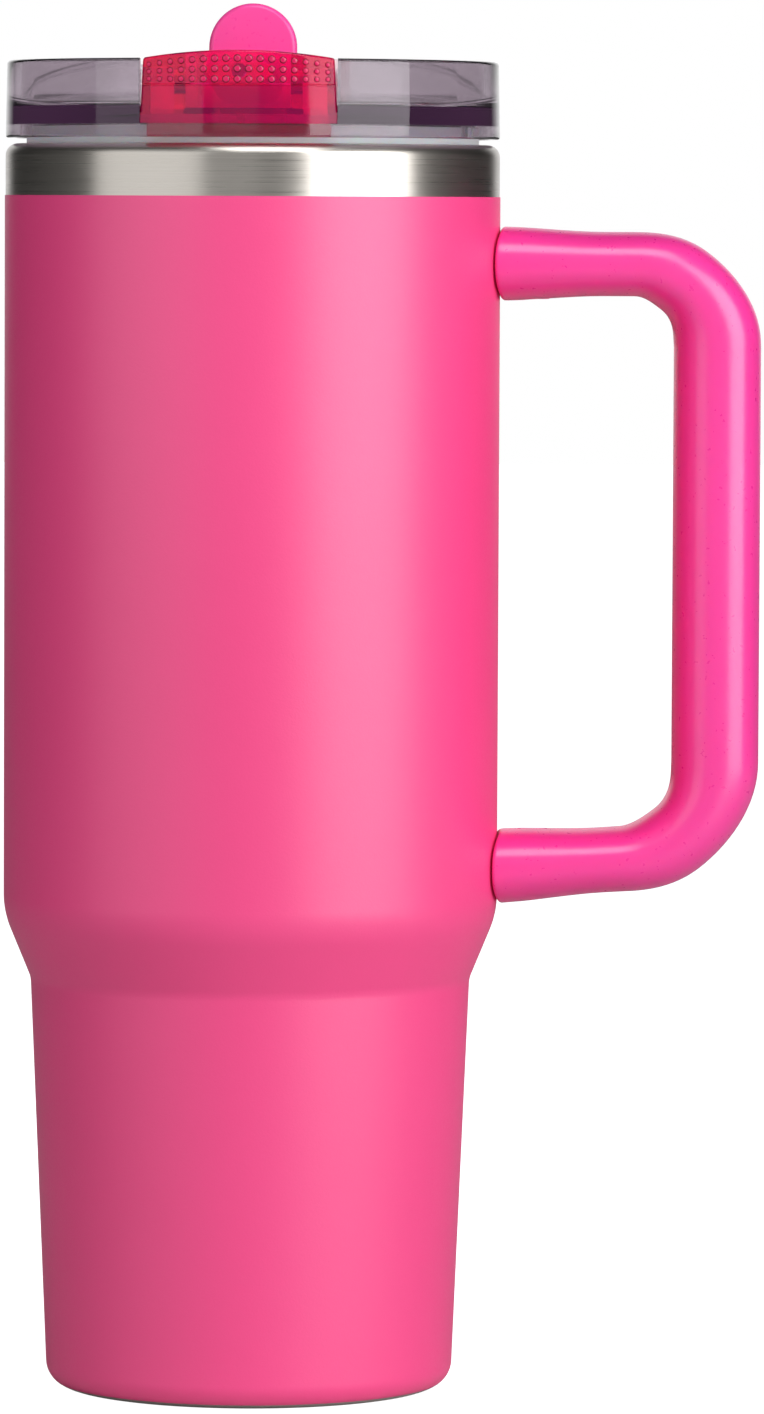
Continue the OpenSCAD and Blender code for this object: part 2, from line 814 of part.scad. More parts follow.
module mouthpiece() {
    side = mouth_w / 2 - mouth_h / 2;
    front = -mouth_reach;
    back = -neck_l - seat_clear;
    socket = -neck_l - spigot_l;
    low = axle_z - mouth_h / 2;
    high = axle_z + mouth_h / 2;
    tip_z = high - tip_h / 2;
    slope = atan((tip_z - axle_z) / (socket - front));
    color("deeppink")
        rotate([0, 0, -lid_angle]) difference() {
            intersection() {
                union() {
                    translate([-side, front, low])
                        cube([2 * side, back - front, mouth_h]);
                    for (x = [-side, side])
                        translate([x, 0, 0])
                            along_y(mouth_h / 2, front, back, axle_z);
                }
                translate([-mouth_w, 0, 0])
                    rotate([90, 0, 90])
                        linear_extrude(2 * mouth_w)
                            polygon(rounded([
                                [front, high - tip_h, 1.2], [socket, low, 20], [back + 1, low, 0],
                                [back + 1, high, 0], [front, high, 1.2]
                            ]));
            }
            along_y(spigot_r + touch, socket, back + 1, axle_z);
            translate([0, socket + 0.5, axle_z])
                rotate([90 - slope, 0, 0])
                    cylinder(r = tip_h * 0.34, h = 2 * (socket - front));
        }
}

outer_shell();
powder_coat();
inner_liner();
base_plate();
vacuum_seal();
seal_cap();
getter();
getter_clip();
handle_lug(upper_arm_z, -1);  // upper_handle_lug
handle_lug(lower_arm_z, 1);  // lower_handle_lug
handle();
handle_screws();
screw_plugs();
lid_gasket();
lid_shell();
spout_guard();
spout_seal();
straw_sleeve();
straw();
vent_valve();
flip_lever();
mouthpiece();
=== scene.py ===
# Insulated tumbler with a screw lid, a fold-down straw spout and a side handle.
# Built up as the real one is: steel cup, coating, liner, base, handle, then the lid and its spout.
# The object's lengths are millimetres, which MM turns into metres; the studio's are metres.
import math
import bmesh
import bpy
from mathutils import Matrix, Vector


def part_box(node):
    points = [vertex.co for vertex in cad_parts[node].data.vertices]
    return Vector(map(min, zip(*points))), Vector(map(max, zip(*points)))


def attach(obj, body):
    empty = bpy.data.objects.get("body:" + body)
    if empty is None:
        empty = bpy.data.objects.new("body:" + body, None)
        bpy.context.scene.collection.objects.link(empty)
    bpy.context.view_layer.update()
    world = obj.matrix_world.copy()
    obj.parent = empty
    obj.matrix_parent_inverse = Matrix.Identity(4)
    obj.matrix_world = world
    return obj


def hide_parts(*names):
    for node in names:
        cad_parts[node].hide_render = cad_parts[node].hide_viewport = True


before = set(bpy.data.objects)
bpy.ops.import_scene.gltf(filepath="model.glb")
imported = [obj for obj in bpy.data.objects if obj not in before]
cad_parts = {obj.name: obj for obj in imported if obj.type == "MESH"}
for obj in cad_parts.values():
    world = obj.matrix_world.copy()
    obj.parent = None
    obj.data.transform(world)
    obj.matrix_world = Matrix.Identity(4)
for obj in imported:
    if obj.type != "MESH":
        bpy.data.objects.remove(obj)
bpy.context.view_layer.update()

MM = 0.001


# ------------------------------------------------------------
# Studio: a white sweep, a strong soft box at the right front, a weaker one at the left front, one
# overhead and a faint one ahead. A long lens stands level with the upper body.
# ------------------------------------------------------------
scene = bpy.context.scene
scene.view_settings.view_transform = "Standard"

camera_data = bpy.data.cameras.new("long_lens")
camera_data.lens = 216.4
camera_data.clip_end = 20.0
camera = bpy.data.objects.new("long_lens", camera_data)
scene.collection.objects.link(camera)
lens_place = Vector((0.026, -1.684, 0.235))
lens_aim = Vector((0.026, 0.0, 0.1352))
camera.location = lens_place
look = (lens_aim - lens_place).to_track_quat("-Z", "Y")
camera.rotation_euler = (look.to_matrix() @ Matrix.Rotation(math.radians(0.25), 3, "Z")).to_euler()
scene.camera = camera


def soft_box(name, azimuth, distance, height, width, tall, watts, colour=(1, 1, 1)):
    """A flat diffuser that faces the cup; azimuth is measured from the front towards the handle."""
    panel = bpy.data.lights.new(name, "AREA")
    panel.shape = "RECTANGLE"
    panel.size, panel.size_y = width, tall
    panel.energy, panel.color = watts, colour
    lamp = bpy.data.objects.new(name, panel)
    turn = math.radians(azimuth)
    lamp.location = (distance * math.sin(turn), -distance * math.cos(turn), height)
    lamp.rotation_euler = (Vector((0, 0, 0.15)) - lamp.location).to_track_quat("-Z", "Y").to_euler()
    scene.collection.objects.link(lamp)


soft_box("key_soft_box", 52, 1.3, 0.38, 1.25, 1.5, 20.5)
soft_box("side_soft_box", -49, 1.3, 0.4, 1.35, 1.3, 5.3)
soft_box("front_fill", -7, 2.6, 0.7, 1.0, 1.0, 1.0)
soft_box("overhead", 12, 0.9, 1.6, 1.0, 1.0, 11)


def shown_white(tree, dim, white, out):
    """White where it is looked at or looked through, and dim as a light and in reflections."""
    ray = tree.nodes.new("ShaderNodeLightPath")
    seen = tree.nodes.new("ShaderNodeMath")
    seen.operation = "MAXIMUM"
    mix = tree.nodes.new("ShaderNodeMixShader")
    tree.links.new(ray.outputs["Is Camera Ray"], seen.inputs[0])
    tree.links.new(ray.outputs["Is Transmission Ray"], seen.inputs[1])
    tree.links.new(seen.outputs[0], mix.inputs[0])
    tree.links.new(dim.outputs[0], mix.inputs[1])
    tree.links.new(white.outputs[0], mix.inputs[2])
    tree.links.new(mix.outputs[0], out.inputs["Surface"])


# The room darkens towards the back, for the dark flanks on the steel, and is white right behind.
room = bpy.data.worlds.new("pale_room")
room.use_nodes = True
sky = room.node_tree
sky.nodes.clear()
dim_walls = sky.nodes.new("ShaderNodeBackground")
way_in = sky.nodes.new("ShaderNodeTexCoord")
parts = sky.nodes.new("ShaderNodeSeparateXYZ")
depth = sky.nodes.new("ShaderNodeMapRange")
depth.inputs["From Min"].default_value, depth.inputs["From Max"].default_value = -1.0, 1.0
fade = sky.nodes.new("ShaderNodeValToRGB")
fade.color_ramp.elements[0].position, fade.color_ramp.elements[0].color = 0.2, (0.14, 0.14, 0.14, 1)
fade.color_ramp.elements[1].position, fade.color_ramp.elements[1].color = 0.98, (1.0, 1.0, 1.0, 1)
for place, shade in ((0.8, 0.03), (0.93, 0.03)):
    fade.color_ramp.elements.new(place).color = (shade, shade, shade, 1)
sky.links.new(way_in.outputs["Generated"], parts.inputs[0])
sky.links.new(parts.outputs["Y"], depth.inputs["Value"])
sky.links.new(depth.outputs["Result"], fade.inputs["Fac"])
sky.links.new(fade.outputs["Color"], dim_walls.inputs["Color"])
white_wall = sky.nodes.new("ShaderNodeBackground")
white_wall.inputs["Color"].default_value = (1, 1, 1, 1)
shown_white(sky, dim_walls, white_wall, sky.nodes.new("ShaderNodeOutputWorld"))
scene.world = room

floor_mesh = bpy.data.meshes.new("pale_floor")
floor_mesh.from_pydata([(-6, -6, 0), (6, -6, 0), (6, 6, 0), (-6, 6, 0)], [], [(0, 1, 2, 3)])
pale_floor = bpy.data.objects.new("pale_floor", floor_mesh)
scene.collection.objects.link(pale_floor)
floor_paint = bpy.data.materials.new("floor_paint")
floor_paint.use_nodes = True
floor_shader = floor_paint.node_tree.nodes["Principled BSDF"]
floor_shader.inputs["Base Color"].default_value = (0.5, 0.5, 0.5, 1)
floor_shader.inputs["Roughness"].default_value = 0.7
floor_shader.inputs["Emission Color"].default_value = (1, 1, 1, 1)
floor_shader.inputs["Emission Strength"].default_value = 0.02
lit_paint = floor_paint.node_tree.nodes.new("ShaderNodeBsdfPrincipled")
lit_paint.inputs["Base Color"].default_value = (0.9, 0.9, 0.9, 1)
lit_paint.inputs["Roughness"].default_value = 0.7
lit_paint.inputs["Emission Color"].default_value = (1, 1, 1, 1)
lit_paint.inputs["Emission Strength"].default_value = 1.0
shown_white(floor_paint.node_tree, floor_shader, lit_paint,
            floor_paint.node_tree.nodes["Material Output"])
floor_mesh.materials.append(floor_paint)


# ------------------------------------------------------------
# Outer wall: drawn stainless steel, 0.7 mm thick, with a rolled lip and a turned-in foot ring.
# Only the band under the lip and the foot ring stay bare, brushed round and round.
# ------------------------------------------------------------
CUP_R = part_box("powder_coat")[1].y / MM
CUP_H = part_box("outer_shell")[1].z / MM
COAT = 0.15
SHELL = 0.7
STEP_R, TAPER = 5.4, 3.4          # shoulder step and foot taper, in radius
WAIST_Z, SHOULDER_Z = 81.4, 94.5
WAIST_FILLET, SHOULDER_FILLET = 6, 18
FOOT_CORNER = 5.0
HEM_R, HEM_H = 33.2, 1.8
BAND_H = 10.2
LIP_R = 2.4                       # the rolled lip's radius, and the gap between the walls behind it


def rounded(outline, steps=12):
    """Points of a closed outline whose corners are (x, y, radius)."""
    points = []
    count = len(outline)
    for i, (x, y, radius) in enumerate(outline):
        here = Vector((x, y))
        if radius <= 0:
            points.append(here)
            continue
        before = Vector(outline[i - 1][:2])
        after = Vector(outline[(i + 1) % count][:2])
        u, v = (before - here).normalized(), (after - here).normalized()
        half = math.acos(max(-1, min(1, u.dot(v)))) / 2
        start = here + u * (radius / math.tan(half))
        centre = here + (u + v).normalized() * (radius / math.sin(half))
        side = -1 if u.x * v.y - u.y * v.x > 0 else 1
        arm = start - centre
        for k in range(steps + 1):
            turn = side * (math.pi - 2 * half) * k / steps
            points.append(centre + Vector((arm.x * math.cos(turn) - arm.y * math.sin(turn),
                                           arm.x * math.sin(turn) + arm.y * math.cos(turn))))
    return points


def settle(name, shape, sharp=32):
    """Makes an object of a shape, with its faces outwards and only its real edges sharp."""
    bmesh.ops.remove_doubles(shape, verts=shape.verts, dist=1e-7)
    bmesh.ops.recalc_face_normals(shape, faces=shape.faces)
    limit = math.radians(sharp)
    for face in shape.faces:
        face.smooth = True
    for edge in shape.edges:
        edge.smooth = not (len(edge.link_faces) == 2 and edge.calc_face_angle(0) > limit)
    mesh = bpy.data.meshes.new(name)
    shape.to_mesh(mesh)
    shape.free()
    piece = bpy.data.objects.new(name, mesh)
    scene.collection.objects.link(piece)
    return piece


def spun(name, outline, segments=192, steps=12, sharp=32):
    """A turned piece: a closed outline of (radius, height, corner) taken round the cup's axis."""
    shape = bmesh.new()
    section = rounded(outline, steps)
    rings = []
    for p in section:
        if p.x < 1e-6:
            rings.append([shape.verts.new((0, 0, p.y * MM))] * segments)
            continue
        rings.append([shape.verts.new((p.x * MM * math.cos(2 * math.pi * k / segments),
                                       p.x * MM * math.sin(2 * math.pi * k / segments), p.y * MM))
                      for k in range(segments)])
    for i, ring in enumerate(rings):
        other = rings[(i + 1) % len(rings)]
        for k in range(segments):
            corners = []
            for v in (ring[k], ring[(k + 1) % segments], other[(k + 1) % segments], other[k]):
                if v not in corners:
                    corners.append(v)
            if len(corners) > 2:
                shape.faces.new(corners)
    return settle(name, shape, sharp)


def wall_line(inset, foot_z, foot_corner, top):
    """Outline of the cup's side, set in from the coating's face."""
    return [(CUP_R - STEP_R - TAPER - inset, foot_z, foot_corner),
            (CUP_R - STEP_R - inset, WAIST_Z, WAIST_FILLET + inset),
            (CUP_R - inset, SHOULDER_Z, SHOULDER_FILLET - inset),
            (CUP_R - inset, top, 0)]


def finish(name, colour, rough, metal=0.0, **extra):
    """A new material and its Principled shader; extra names sockets with underscores for spaces."""
    material = bpy.data.materials.new(name)
    material.use_nodes = True
    shader = material.node_tree.nodes["Principled BSDF"]
    shader.inputs["Base Color"].default_value = (*colour, 1)
    shader.inputs["Roughness"].default_value = rough
    shader.inputs["Metallic"].default_value = metal
    for socket, value in extra.items():
        shader.inputs[socket.replace("_", " ")].default_value = value
    return material, shader, material.node_tree


def grain(tree, scale, stretch=(1, 1, 1), detail=3.0):
    """Noise over the piece's own Object coordinates, stretched along each axis."""
    place = tree.nodes.new("ShaderNodeTexCoord")
    mapping = tree.nodes.new("ShaderNodeMapping")
    mapping.inputs["Scale"].default_value = stretch
    noise = tree.nodes.new("ShaderNodeTexNoise")
    noise.inputs["Scale"].default_value = scale
    noise.inputs["Detail"].default_value = detail
    tree.links.new(place.outputs["Object"], mapping.inputs["Vector"])
    tree.links.new(mapping.outputs["Vector"], noise.inputs["Vector"])
    return noise.outputs["Fac"]


def spread(tree, value, low, high):
    """Takes the noise's usual span, 0.3 to 0.7, to the range low to high."""
    ramp = tree.nodes.new("ShaderNodeMapRange")
    ramp.inputs["From Min"].default_value = 0.3
    ramp.inputs["From Max"].default_value = 0.7
    ramp.inputs["To Min"].default_value = low
    ramp.inputs["To Max"].default_value = high
    tree.links.new(value, ramp.inputs["Value"])
    return ramp.outputs["Result"]


def raised(tree, shader, value, height_mm, strength=1.0):
    """A bump of the given height on the shader's normal."""
    bump = tree.nodes.new("ShaderNodeBump")
    bump.inputs["Strength"].default_value = strength
    bump.inputs["Distance"].default_value = height_mm * MM
    tree.links.new(value, bump.inputs["Height"])
    tree.links.new(bump.outputs["Normal"], shader.inputs["Normal"])


def tinted(tree, shader, value, dark, light):
    """Base colour that wanders between two close shades."""
    mix = tree.nodes.new("ShaderNodeMix")
    mix.data_type = "RGBA"
    mix.inputs["A"].default_value = (*dark, 1)
    mix.inputs["B"].default_value = (*light, 1)
    tree.links.new(value, mix.inputs["Factor"])
    tree.links.new(mix.outputs["Result"], shader.inputs["Base Color"])


def wear(piece, material):
    """Gives a whole piece one material."""
    piece.data.materials.clear()
    piece.data.materials.append(material)


brushed_steel, shader, tree = finish("brushed_steel", (0.6, 0.56, 0.51), 0.26, 1.0,
                                     Anisotropic=0.6, Anisotropic_Rotation=0.25)
strokes = grain(tree, 26, (1, 1, 150), 5.0)
tinted(tree, shader, spread(tree, strokes, 0, 1), (0.56, 0.525, 0.48), (0.64, 0.605, 0.56))
tree.links.new(spread(tree, strokes, 0.26, 0.34), shader.inputs["Roughness"])
raised(tree, shader, strokes, 0.002, 0.4)

LINER_R = CUP_R - COAT - SHELL - LIP_R
outer = wall_line(COAT, 0, FOOT_CORNER - COAT, CUP_H)
inner = wall_line(COAT + SHELL, SHELL, FOOT_CORNER - COAT - SHELL, CUP_H)
cup_wall = spun("cup_wall", [(HEM_R, 0, 0.2)] + outer[:3]
                + [(CUP_R - COAT, CUP_H, LIP_R), (LINER_R, CUP_H, 0), (LINER_R, CUP_H - SHELL, 0),
                   (CUP_R - COAT - SHELL, CUP_H - SHELL, LIP_R - SHELL)]
                + inner[2::-1]
                + [(HEM_R + SHELL, SHELL, 0), (HEM_R + SHELL, HEM_H, 0), (HEM_R, HEM_H, 0)])
wear(cup_wall, brushed_steel)
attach(cup_wall, "cup")
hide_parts("outer_shell")


# ------------------------------------------------------------
# Powder coating: baked pink polymer over the outer wall, from just above the foot to the bare
# band. It has a fine grain and ends in a crisp masked edge under the band.
# ------------------------------------------------------------
powder_pink, shader, tree = finish("powder_pink", (0.94, 0.055, 0.255), 0.4, Specular_IOR_Level=1.0)
speckle = grain(tree, 2600, detail=2.0)
clouds = grain(tree, 9, detail=2.0)
tinted(tree, shader, spread(tree, clouds, 0, 1), (0.92, 0.052, 0.245), (0.96, 0.06, 0.265))
tree.links.new(spread(tree, speckle, 0.35, 0.46), shader.inputs["Roughness"])
raised(tree, shader, speckle, 0.035, 0.6)

COAT_EDGE = 0.8                   # the coating ends this far above the foot
top = CUP_H - BAND_H
face = wall_line(0, 0, FOOT_CORNER, top)
back = wall_line(COAT, 0, FOOT_CORNER - COAT, top)
face_line = [p for p in rounded([(0, 0, 0)] + face + [(0, top, 0)]) if p.x > 1 and p.y > COAT_EDGE]
back_line = [p for p in rounded([(0, 0, 0)] + back + [(0, top, 0)]) if p.x > 1 and p.y > COAT_EDGE]
coating = spun("coating", [(p.x, p.y, 0) for p in face_line]
               + [(p.x, p.y, 0) for p in reversed(back_line)], segments=256)
wear(coating, powder_pink)
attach(coating, "cup")
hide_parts("powder_coat")


# ------------------------------------------------------------
# Liner: the inner steel wall, 0.6 mm, polished, with a pressed thread ridge near its mouth.
# It is welded to the outer wall at the lip, with a vacuum between the two.
# ------------------------------------------------------------
polished_steel, shader, tree = finish("polished_steel", (0.62, 0.6, 0.57), 0.2, 1.0)
rings = grain(tree, 22, (1, 1, 40), 4.0)
tree.links.new(spread(tree, rings, 0.14, 0.28), shader.inputs["Roughness"])
raised(tree, shader, rings, 0.008, 0.4)

LINER = 0.6
MOUTH_R = LINER_R - LINER
LINER_FLOOR, FLOOR_CORNER = 9.0, 8.0
INSET = CUP_R - LINER_R
LEAD, TURNS = 5.0, 1.04
LID_THREAD_Z = 234.0
RIDGE = ((-0.35, -1.1), (1.0, -0.55), (1.15, -0.4), (1.15, 0.4), (1.0, 0.55), (-0.35, 1.1))


def ridge(name, radius, z, side):
    """A screw ridge that grows out of a wall at both ends; side 1 stands outwards, -1 inwards."""
    shape = bmesh.new()
    steps = int(round(360 * TURNS / 3))
    rows = []
    for i in range(steps + 1):
        turn = math.radians(360 * TURNS * i / steps)
        grown = min(1.0, 0.12 + min(i, steps - i) * 3 / 30)
        row = []
        for out, up in RIDGE:
            q = radius + side * (out * grown if out > 0 else out)
            row.append(shape.verts.new((q * MM * math.cos(turn), q * MM * math.sin(turn),
                                        (z + LEAD * turn / (2 * math.pi) + up) * MM)))
        rows.append(row)
    for i in range(steps):
        for k in range(len(RIDGE)):
            n = (k + 1) % len(RIDGE)
            shape.faces.new((rows[i][k], rows[i][n], rows[i + 1][n], rows[i + 1][k]))
    shape.faces.new(rows[0])
    shape.faces.new(rows[-1])
    return settle(name, shape)


def baked(piece):
    """The plain mesh that a piece's modifiers make of it."""
    bpy.context.view_layer.update()
    return bpy.data.meshes.new_from_object(
        piece.evaluated_get(bpy.context.evaluated_depsgraph_get()))


def carved(piece, cutters, how="DIFFERENCE"):
    """The shape of a piece cut by, joined to or trimmed by others; all of them are used up."""
    for cutter in cutters:
        step = piece.modifiers.new("carve", "BOOLEAN")
        step.operation, step.object, step.solver = how, cutter, "EXACT"
    shape = bmesh.new()
    shape.from_mesh(baked(piece))
    for used in [piece] + cutters:
        bpy.data.objects.remove(used)
    return shape


skin = wall_line(INSET, LINER_FLOOR, FLOOR_CORNER, CUP_H)
hollow = wall_line(INSET + LINER, LINER_FLOOR + LINER, FLOOR_CORNER - LINER, CUP_H)
tube = spun("tube", [(0, LINER_FLOOR, 0)] + skin + [(MOUTH_R, CUP_H, 0.48)] + hollow[2::-1]
            + [(0, LINER_FLOOR + LINER, 0)])
cup_ridge = ridge("liner_ridge", MOUTH_R, LID_THREAD_Z + LEAD / 2, -1)
liner = settle("liner", carved(tube, [cup_ridge], "UNION"))
wear(liner, polished_steel)
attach(liner, "cup")
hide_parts("inner_liner")


# ------------------------------------------------------------
# Underside: a pressed steel plate inside the foot ring, dished at its middle, where a thin disc
# covers the plug that closed the vacuum. Getter and clip sit unseen under the liner.
# ------------------------------------------------------------
PLATE_Z, DISH_R, DISH = HEM_H - SHELL, 10.0, 1.5
SEAL_HOLE_R, CAP_T = 1.5, 0.6
foot_plate = spun("foot_plate", [
    (SEAL_HOLE_R, PLATE_Z + DISH, 0), (DISH_R, PLATE_Z + DISH, 0.8), (DISH_R + 1, PLATE_Z, 0.8),
    (HEM_R, PLATE_Z, 0), (HEM_R, PLATE_Z + SHELL, 0), (DISH_R + 1.6, PLATE_Z + SHELL, 0.8),
    (DISH_R + 0.6, PLATE_Z + SHELL + DISH, 0.8), (SEAL_HOLE_R, PLATE_Z + SHELL + DISH, 0)], segments=128)
cover_disc = spun("cover_disc", [(0, PLATE_Z + DISH - CAP_T, 0), (DISH_R - 1.2, PLATE_Z + DISH - CAP_T, 0.2),
                                 (DISH_R - 1.2, PLATE_Z + DISH, 0), (0, PLATE_Z + DISH, 0)], segments=96)
for piece, node in ((foot_plate, "base_plate"), (cover_disc, "seal_cap")):
    wear(piece, brushed_steel)
    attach(piece, "cup")
    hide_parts(node)

bead_glass, shader, tree = finish("bead_glass", (0.04, 0.04, 0.05), 0.25)
raised(tree, shader, grain(tree, 800), 0.03)
sintered_metal, shader, tree = finish("sintered_metal", (0.3, 0.3, 0.31), 0.7, 0.6)
raised(tree, shader, grain(tree, 3000), 0.06)
for node, metal in (("vacuum_seal", bead_glass), ("getter", sintered_metal),
                    ("getter_clip", brushed_steel), ("upper_handle_lug", brushed_steel),
                    ("lower_handle_lug", brushed_steel)):
    wear(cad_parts[node], metal)


# ------------------------------------------------------------
# Handle: one injection-moulded pink bow with an oval section, thin at the arms and full at the
# grip. Its ends are scribed to the cup, and each arm hides a welded lug and its screw.
# ------------------------------------------------------------
handle_pink, shader, tree = finish("handle_pink", (0.98, 0.045, 0.345), 0.3,
                                   Specular_IOR_Level=1.0, Subsurface_Weight=0.1,
                                   Subsurface_Scale=0.004)
satin = grain(tree, 900, detail=4.0)
haze = grain(tree, 14, detail=2.0)
tinted(tree, shader, spread(tree, haze, 0, 1), (0.96, 0.038, 0.33), (1.0, 0.044, 0.355))
tree.links.new(spread(tree, satin, 0.27, 0.34), shader.inputs["Roughness"])
raised(tree, shader, satin, 0.012, 0.5)

HANDLE_W = 26.0
ARM_T, WAIST_T, CORNER_T, GRIP_T = 14.6, 12.7, 14.6, 17.2
GRIP_X, UPPER_BEND, LOWER_BEND = 92.1, 16.5, 19.5
UPPER_Z, UPPER_RISE, LOWER_Z, LOWER_RISE = 223.2, 0.0, 103.4, 3.0
SCRIBE_R = 49.4                   # the hollow that the arm ends are cut to
END_EDGE = 0.7
ARM_START = 44.0


def eased(t):
    """A smooth step from 0 to 1."""
    t = max(0.0, min(1.0, t))
    return t * t * (3 - 2 * t)


def arm_z(x, upper):
    """Height of an arm's middle line at a distance from the cup's axis."""
    along = (x - ARM_START) / (GRIP_X - ARM_START)
    return UPPER_Z + UPPER_RISE * along if upper else LOWER_Z + LOWER_RISE * along


def handle_line():
    """Middle line of the bow in the XZ plane, from the upper arm's end to the lower one's."""
    upper, lower = Vector((GRIP_X, UPPER_Z + UPPER_RISE)), Vector((GRIP_X, LOWER_Z + LOWER_RISE))
    start, end = Vector((ARM_START, UPPER_Z)), Vector((ARM_START, LOWER_Z))

    def bend(a, b, c, radius, steps=28):
        u, v = (a - b).normalized(), (c - b).normalized()
        half = math.acos(u.dot(v)) / 2
        first = b + u * (radius / math.tan(half))
        centre = b + (u + v).normalized() * (radius / math.sin(half))
        arm = first - centre
        return [centre + Vector((arm.x * math.cos(t) + arm.y * math.sin(t),
                                 arm.y * math.cos(t) - arm.x * math.sin(t)))
                for t in ((math.pi - 2 * half) * k / steps for k in range(steps + 1))]

    # Stations along an arm, close together where it meets the cup.
    near = [49.4, 49.45, 49.55, 49.7, 49.95, 50.3, 51, 52, 53.5, 55.5, 58, 61, 64, 67, 69.5]
    upper_arm = [Vector((x, arm_z(x, True))) for x in near + [72, 74.5]]
    lower_arm = [Vector((x, arm_z(x, False))) for x in near]
    first, second = bend(start, upper, lower, UPPER_BEND), bend(upper, lower, end, LOWER_BEND)
    grip = [first[-1] + (second[0] - first[-1]) * k / 24 for k in range(1, 24)]
    return upper_arm + first + grip + second + lower_arm[::-1], len(near)


def bow_thickness(p):
    """Thickness at a point of the middle line: arm, waist, corner and grip blend into each other."""
    waist_run = (GRIP_X - 17 - CUP_R) * 0.55 + 6    # an arm thins over this length
    arm = ARM_T + (WAIST_T - ARM_T) * eased((p.x - CUP_R) / waist_run)
    above, below = UPPER_Z + UPPER_RISE - p.y, p.y - LOWER_Z - LOWER_RISE
    radius = UPPER_BEND if above < below else LOWER_BEND
    corner = eased((p.x - (GRIP_X - radius)) / (radius * 0.6))
    grip = eased((min(above, below) - radius * 0.15) / (radius * 0.75))
    thick = arm * (1 - corner) + CORNER_T * corner
    return thick * (1 - grip) + GRIP_T * grip


def lofted(shape, rings, capped=True):
    """Skins neighbouring rings of points, and caps both ends."""
    count = len(rings[0])
    for a, b in zip(rings, rings[1:]):
        for k in range(count):
            n = (k + 1) % count
            shape.faces.new((a[k], a[n], b[n], b[k]))
    if capped:
        shape.faces.new(rings[0])
        shape.faces.new(rings[-1])


def moulded_bow():
    """The solid bow, swept along its middle line, with rounded ends that fit round the cup."""
    shape = bmesh.new()
    line, ends = handle_line()
    around = 72
    rings = []
    for i, p in enumerate(line):
        before, after = line[max(0, i - 1)], line[min(len(line) - 1, i + 1)]
        ahead = (after - before).normalized()
        outward = Vector((-ahead.y, ahead.x))
        half_t, half_w = bow_thickness(p) / 2, HANDLE_W / 2
        on_arm = min(i, len(line) - 1 - i) < ends
        from_end = p.x - SCRIBE_R
        lip = 0.0
        if on_arm and from_end < END_EDGE:
            lip = END_EDGE - math.sqrt(max(0, END_EDGE ** 2 - (END_EDGE - from_end) ** 2))
        ring = []
        for k in range(around):
            a = 2 * math.pi * k / around
            c, s = math.cos(a), math.sin(a)
            y = (half_w - lip) * math.copysign(abs(c) ** 0.8, c)
            t = (half_t - lip) * math.copysign(abs(s) ** 0.8, s)
            x, z = p.x + outward.x * t, p.y + outward.y * t
            if on_arm:
                scribe = math.sqrt(SCRIBE_R ** 2 - y ** 2) - SCRIBE_R
                if p.x < SCRIBE_R + 3:
                    x = p.x
                x += scribe * (1 - eased((p.x - SCRIBE_R) / 12))
            ring.append(shape.verts.new((x * MM, y * MM, z * MM)))
        rings.append(ring)
    lofted(shape, rings, capped=False)
    for ring, z0 in ((rings[0], UPPER_Z), (rings[-1], line[-1].y)):
        last = ring
        for f in (0.85, 0.65, 0.4, 0.15):
            inner_ring = []
            for v in ring:
                y = v.co.y / MM * f
                z = z0 + (v.co.z / MM - z0) * f
                x = math.sqrt(SCRIBE_R ** 2 - y * y)
                inner_ring.append(shape.verts.new((x * MM, y * MM, z * MM)))
            lofted(shape, [last, inner_ring], capped=False)
            last = inner_ring
        shape.faces.new(last)
    return settle("bow", shape, 40)


def block(name, low, high, edge=0.0):
    """A box from one corner to the other, with rounded edges where edge is above 0."""
    shape = bmesh.new()
    bmesh.ops.create_cube(shape, size=1)
    size, middle = Vector(high) - Vector(low), (Vector(high) + Vector(low)) / 2
    for v in shape.verts:
        v.co = Vector((v.co.x * size.x + middle.x, v.co.y * size.y + middle.y,
                       v.co.z * size.z + middle.z)) * MM
    if edge:
        bmesh.ops.bevel(shape, geom=shape.edges[:], offset=edge * MM, segments=4, profile=0.5,
                        affect="EDGES")
    return settle(name, shape)


def peg(name, radius, start, end, edge=0.0, sides=64):
    """A round bar between two points."""
    start, end = Vector(start), Vector(end)
    way = end - start
    rows = [(radius - edge * (1 - math.sin(t)), edge * (1 - math.cos(t)))
            for t in (math.pi / 2 * k / 6 for k in range(7))] if edge else [(radius, 0)]
    rows = rows + [(r, way.length - d) for r, d in reversed(rows)]
    turn = way.to_track_quat("Z", "Y").to_matrix()
    shape = bmesh.new()
    rings = [[shape.verts.new((start + turn @ Vector((r * math.cos(2 * math.pi * k / sides),
                                                      r * math.sin(2 * math.pi * k / sides), d))) * MM)
              for k in range(sides)] for r, d in rows]
    lofted(shape, rings)
    return settle(name, shape)


SCREW_X, WELL_R = 56.0, 2.95
POCKET_END, POCKET_W, POCKET_H = 60.2, 12.4, 6.8
HALF_ARM = 7.1                    # from an arm's middle to the face that its screw enters
hollows = []
for z, up in ((UPPER_Z, -1), (LOWER_Z, 1)):
    hollows.append(block("pocket", (40, -POCKET_W / 2, z - POCKET_H / 2),
                         (POCKET_END, POCKET_W / 2, z + POCKET_H / 2)))
    hollows.append(peg("well", WELL_R, (SCREW_X, 0, z + up * 4.4), (SCREW_X, 0, z + up * 12)))
handle = settle("handle_bow", carved(moulded_bow(), hollows), 40)
wear(handle, handle_pink)
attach(handle, "cup")
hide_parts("handle")

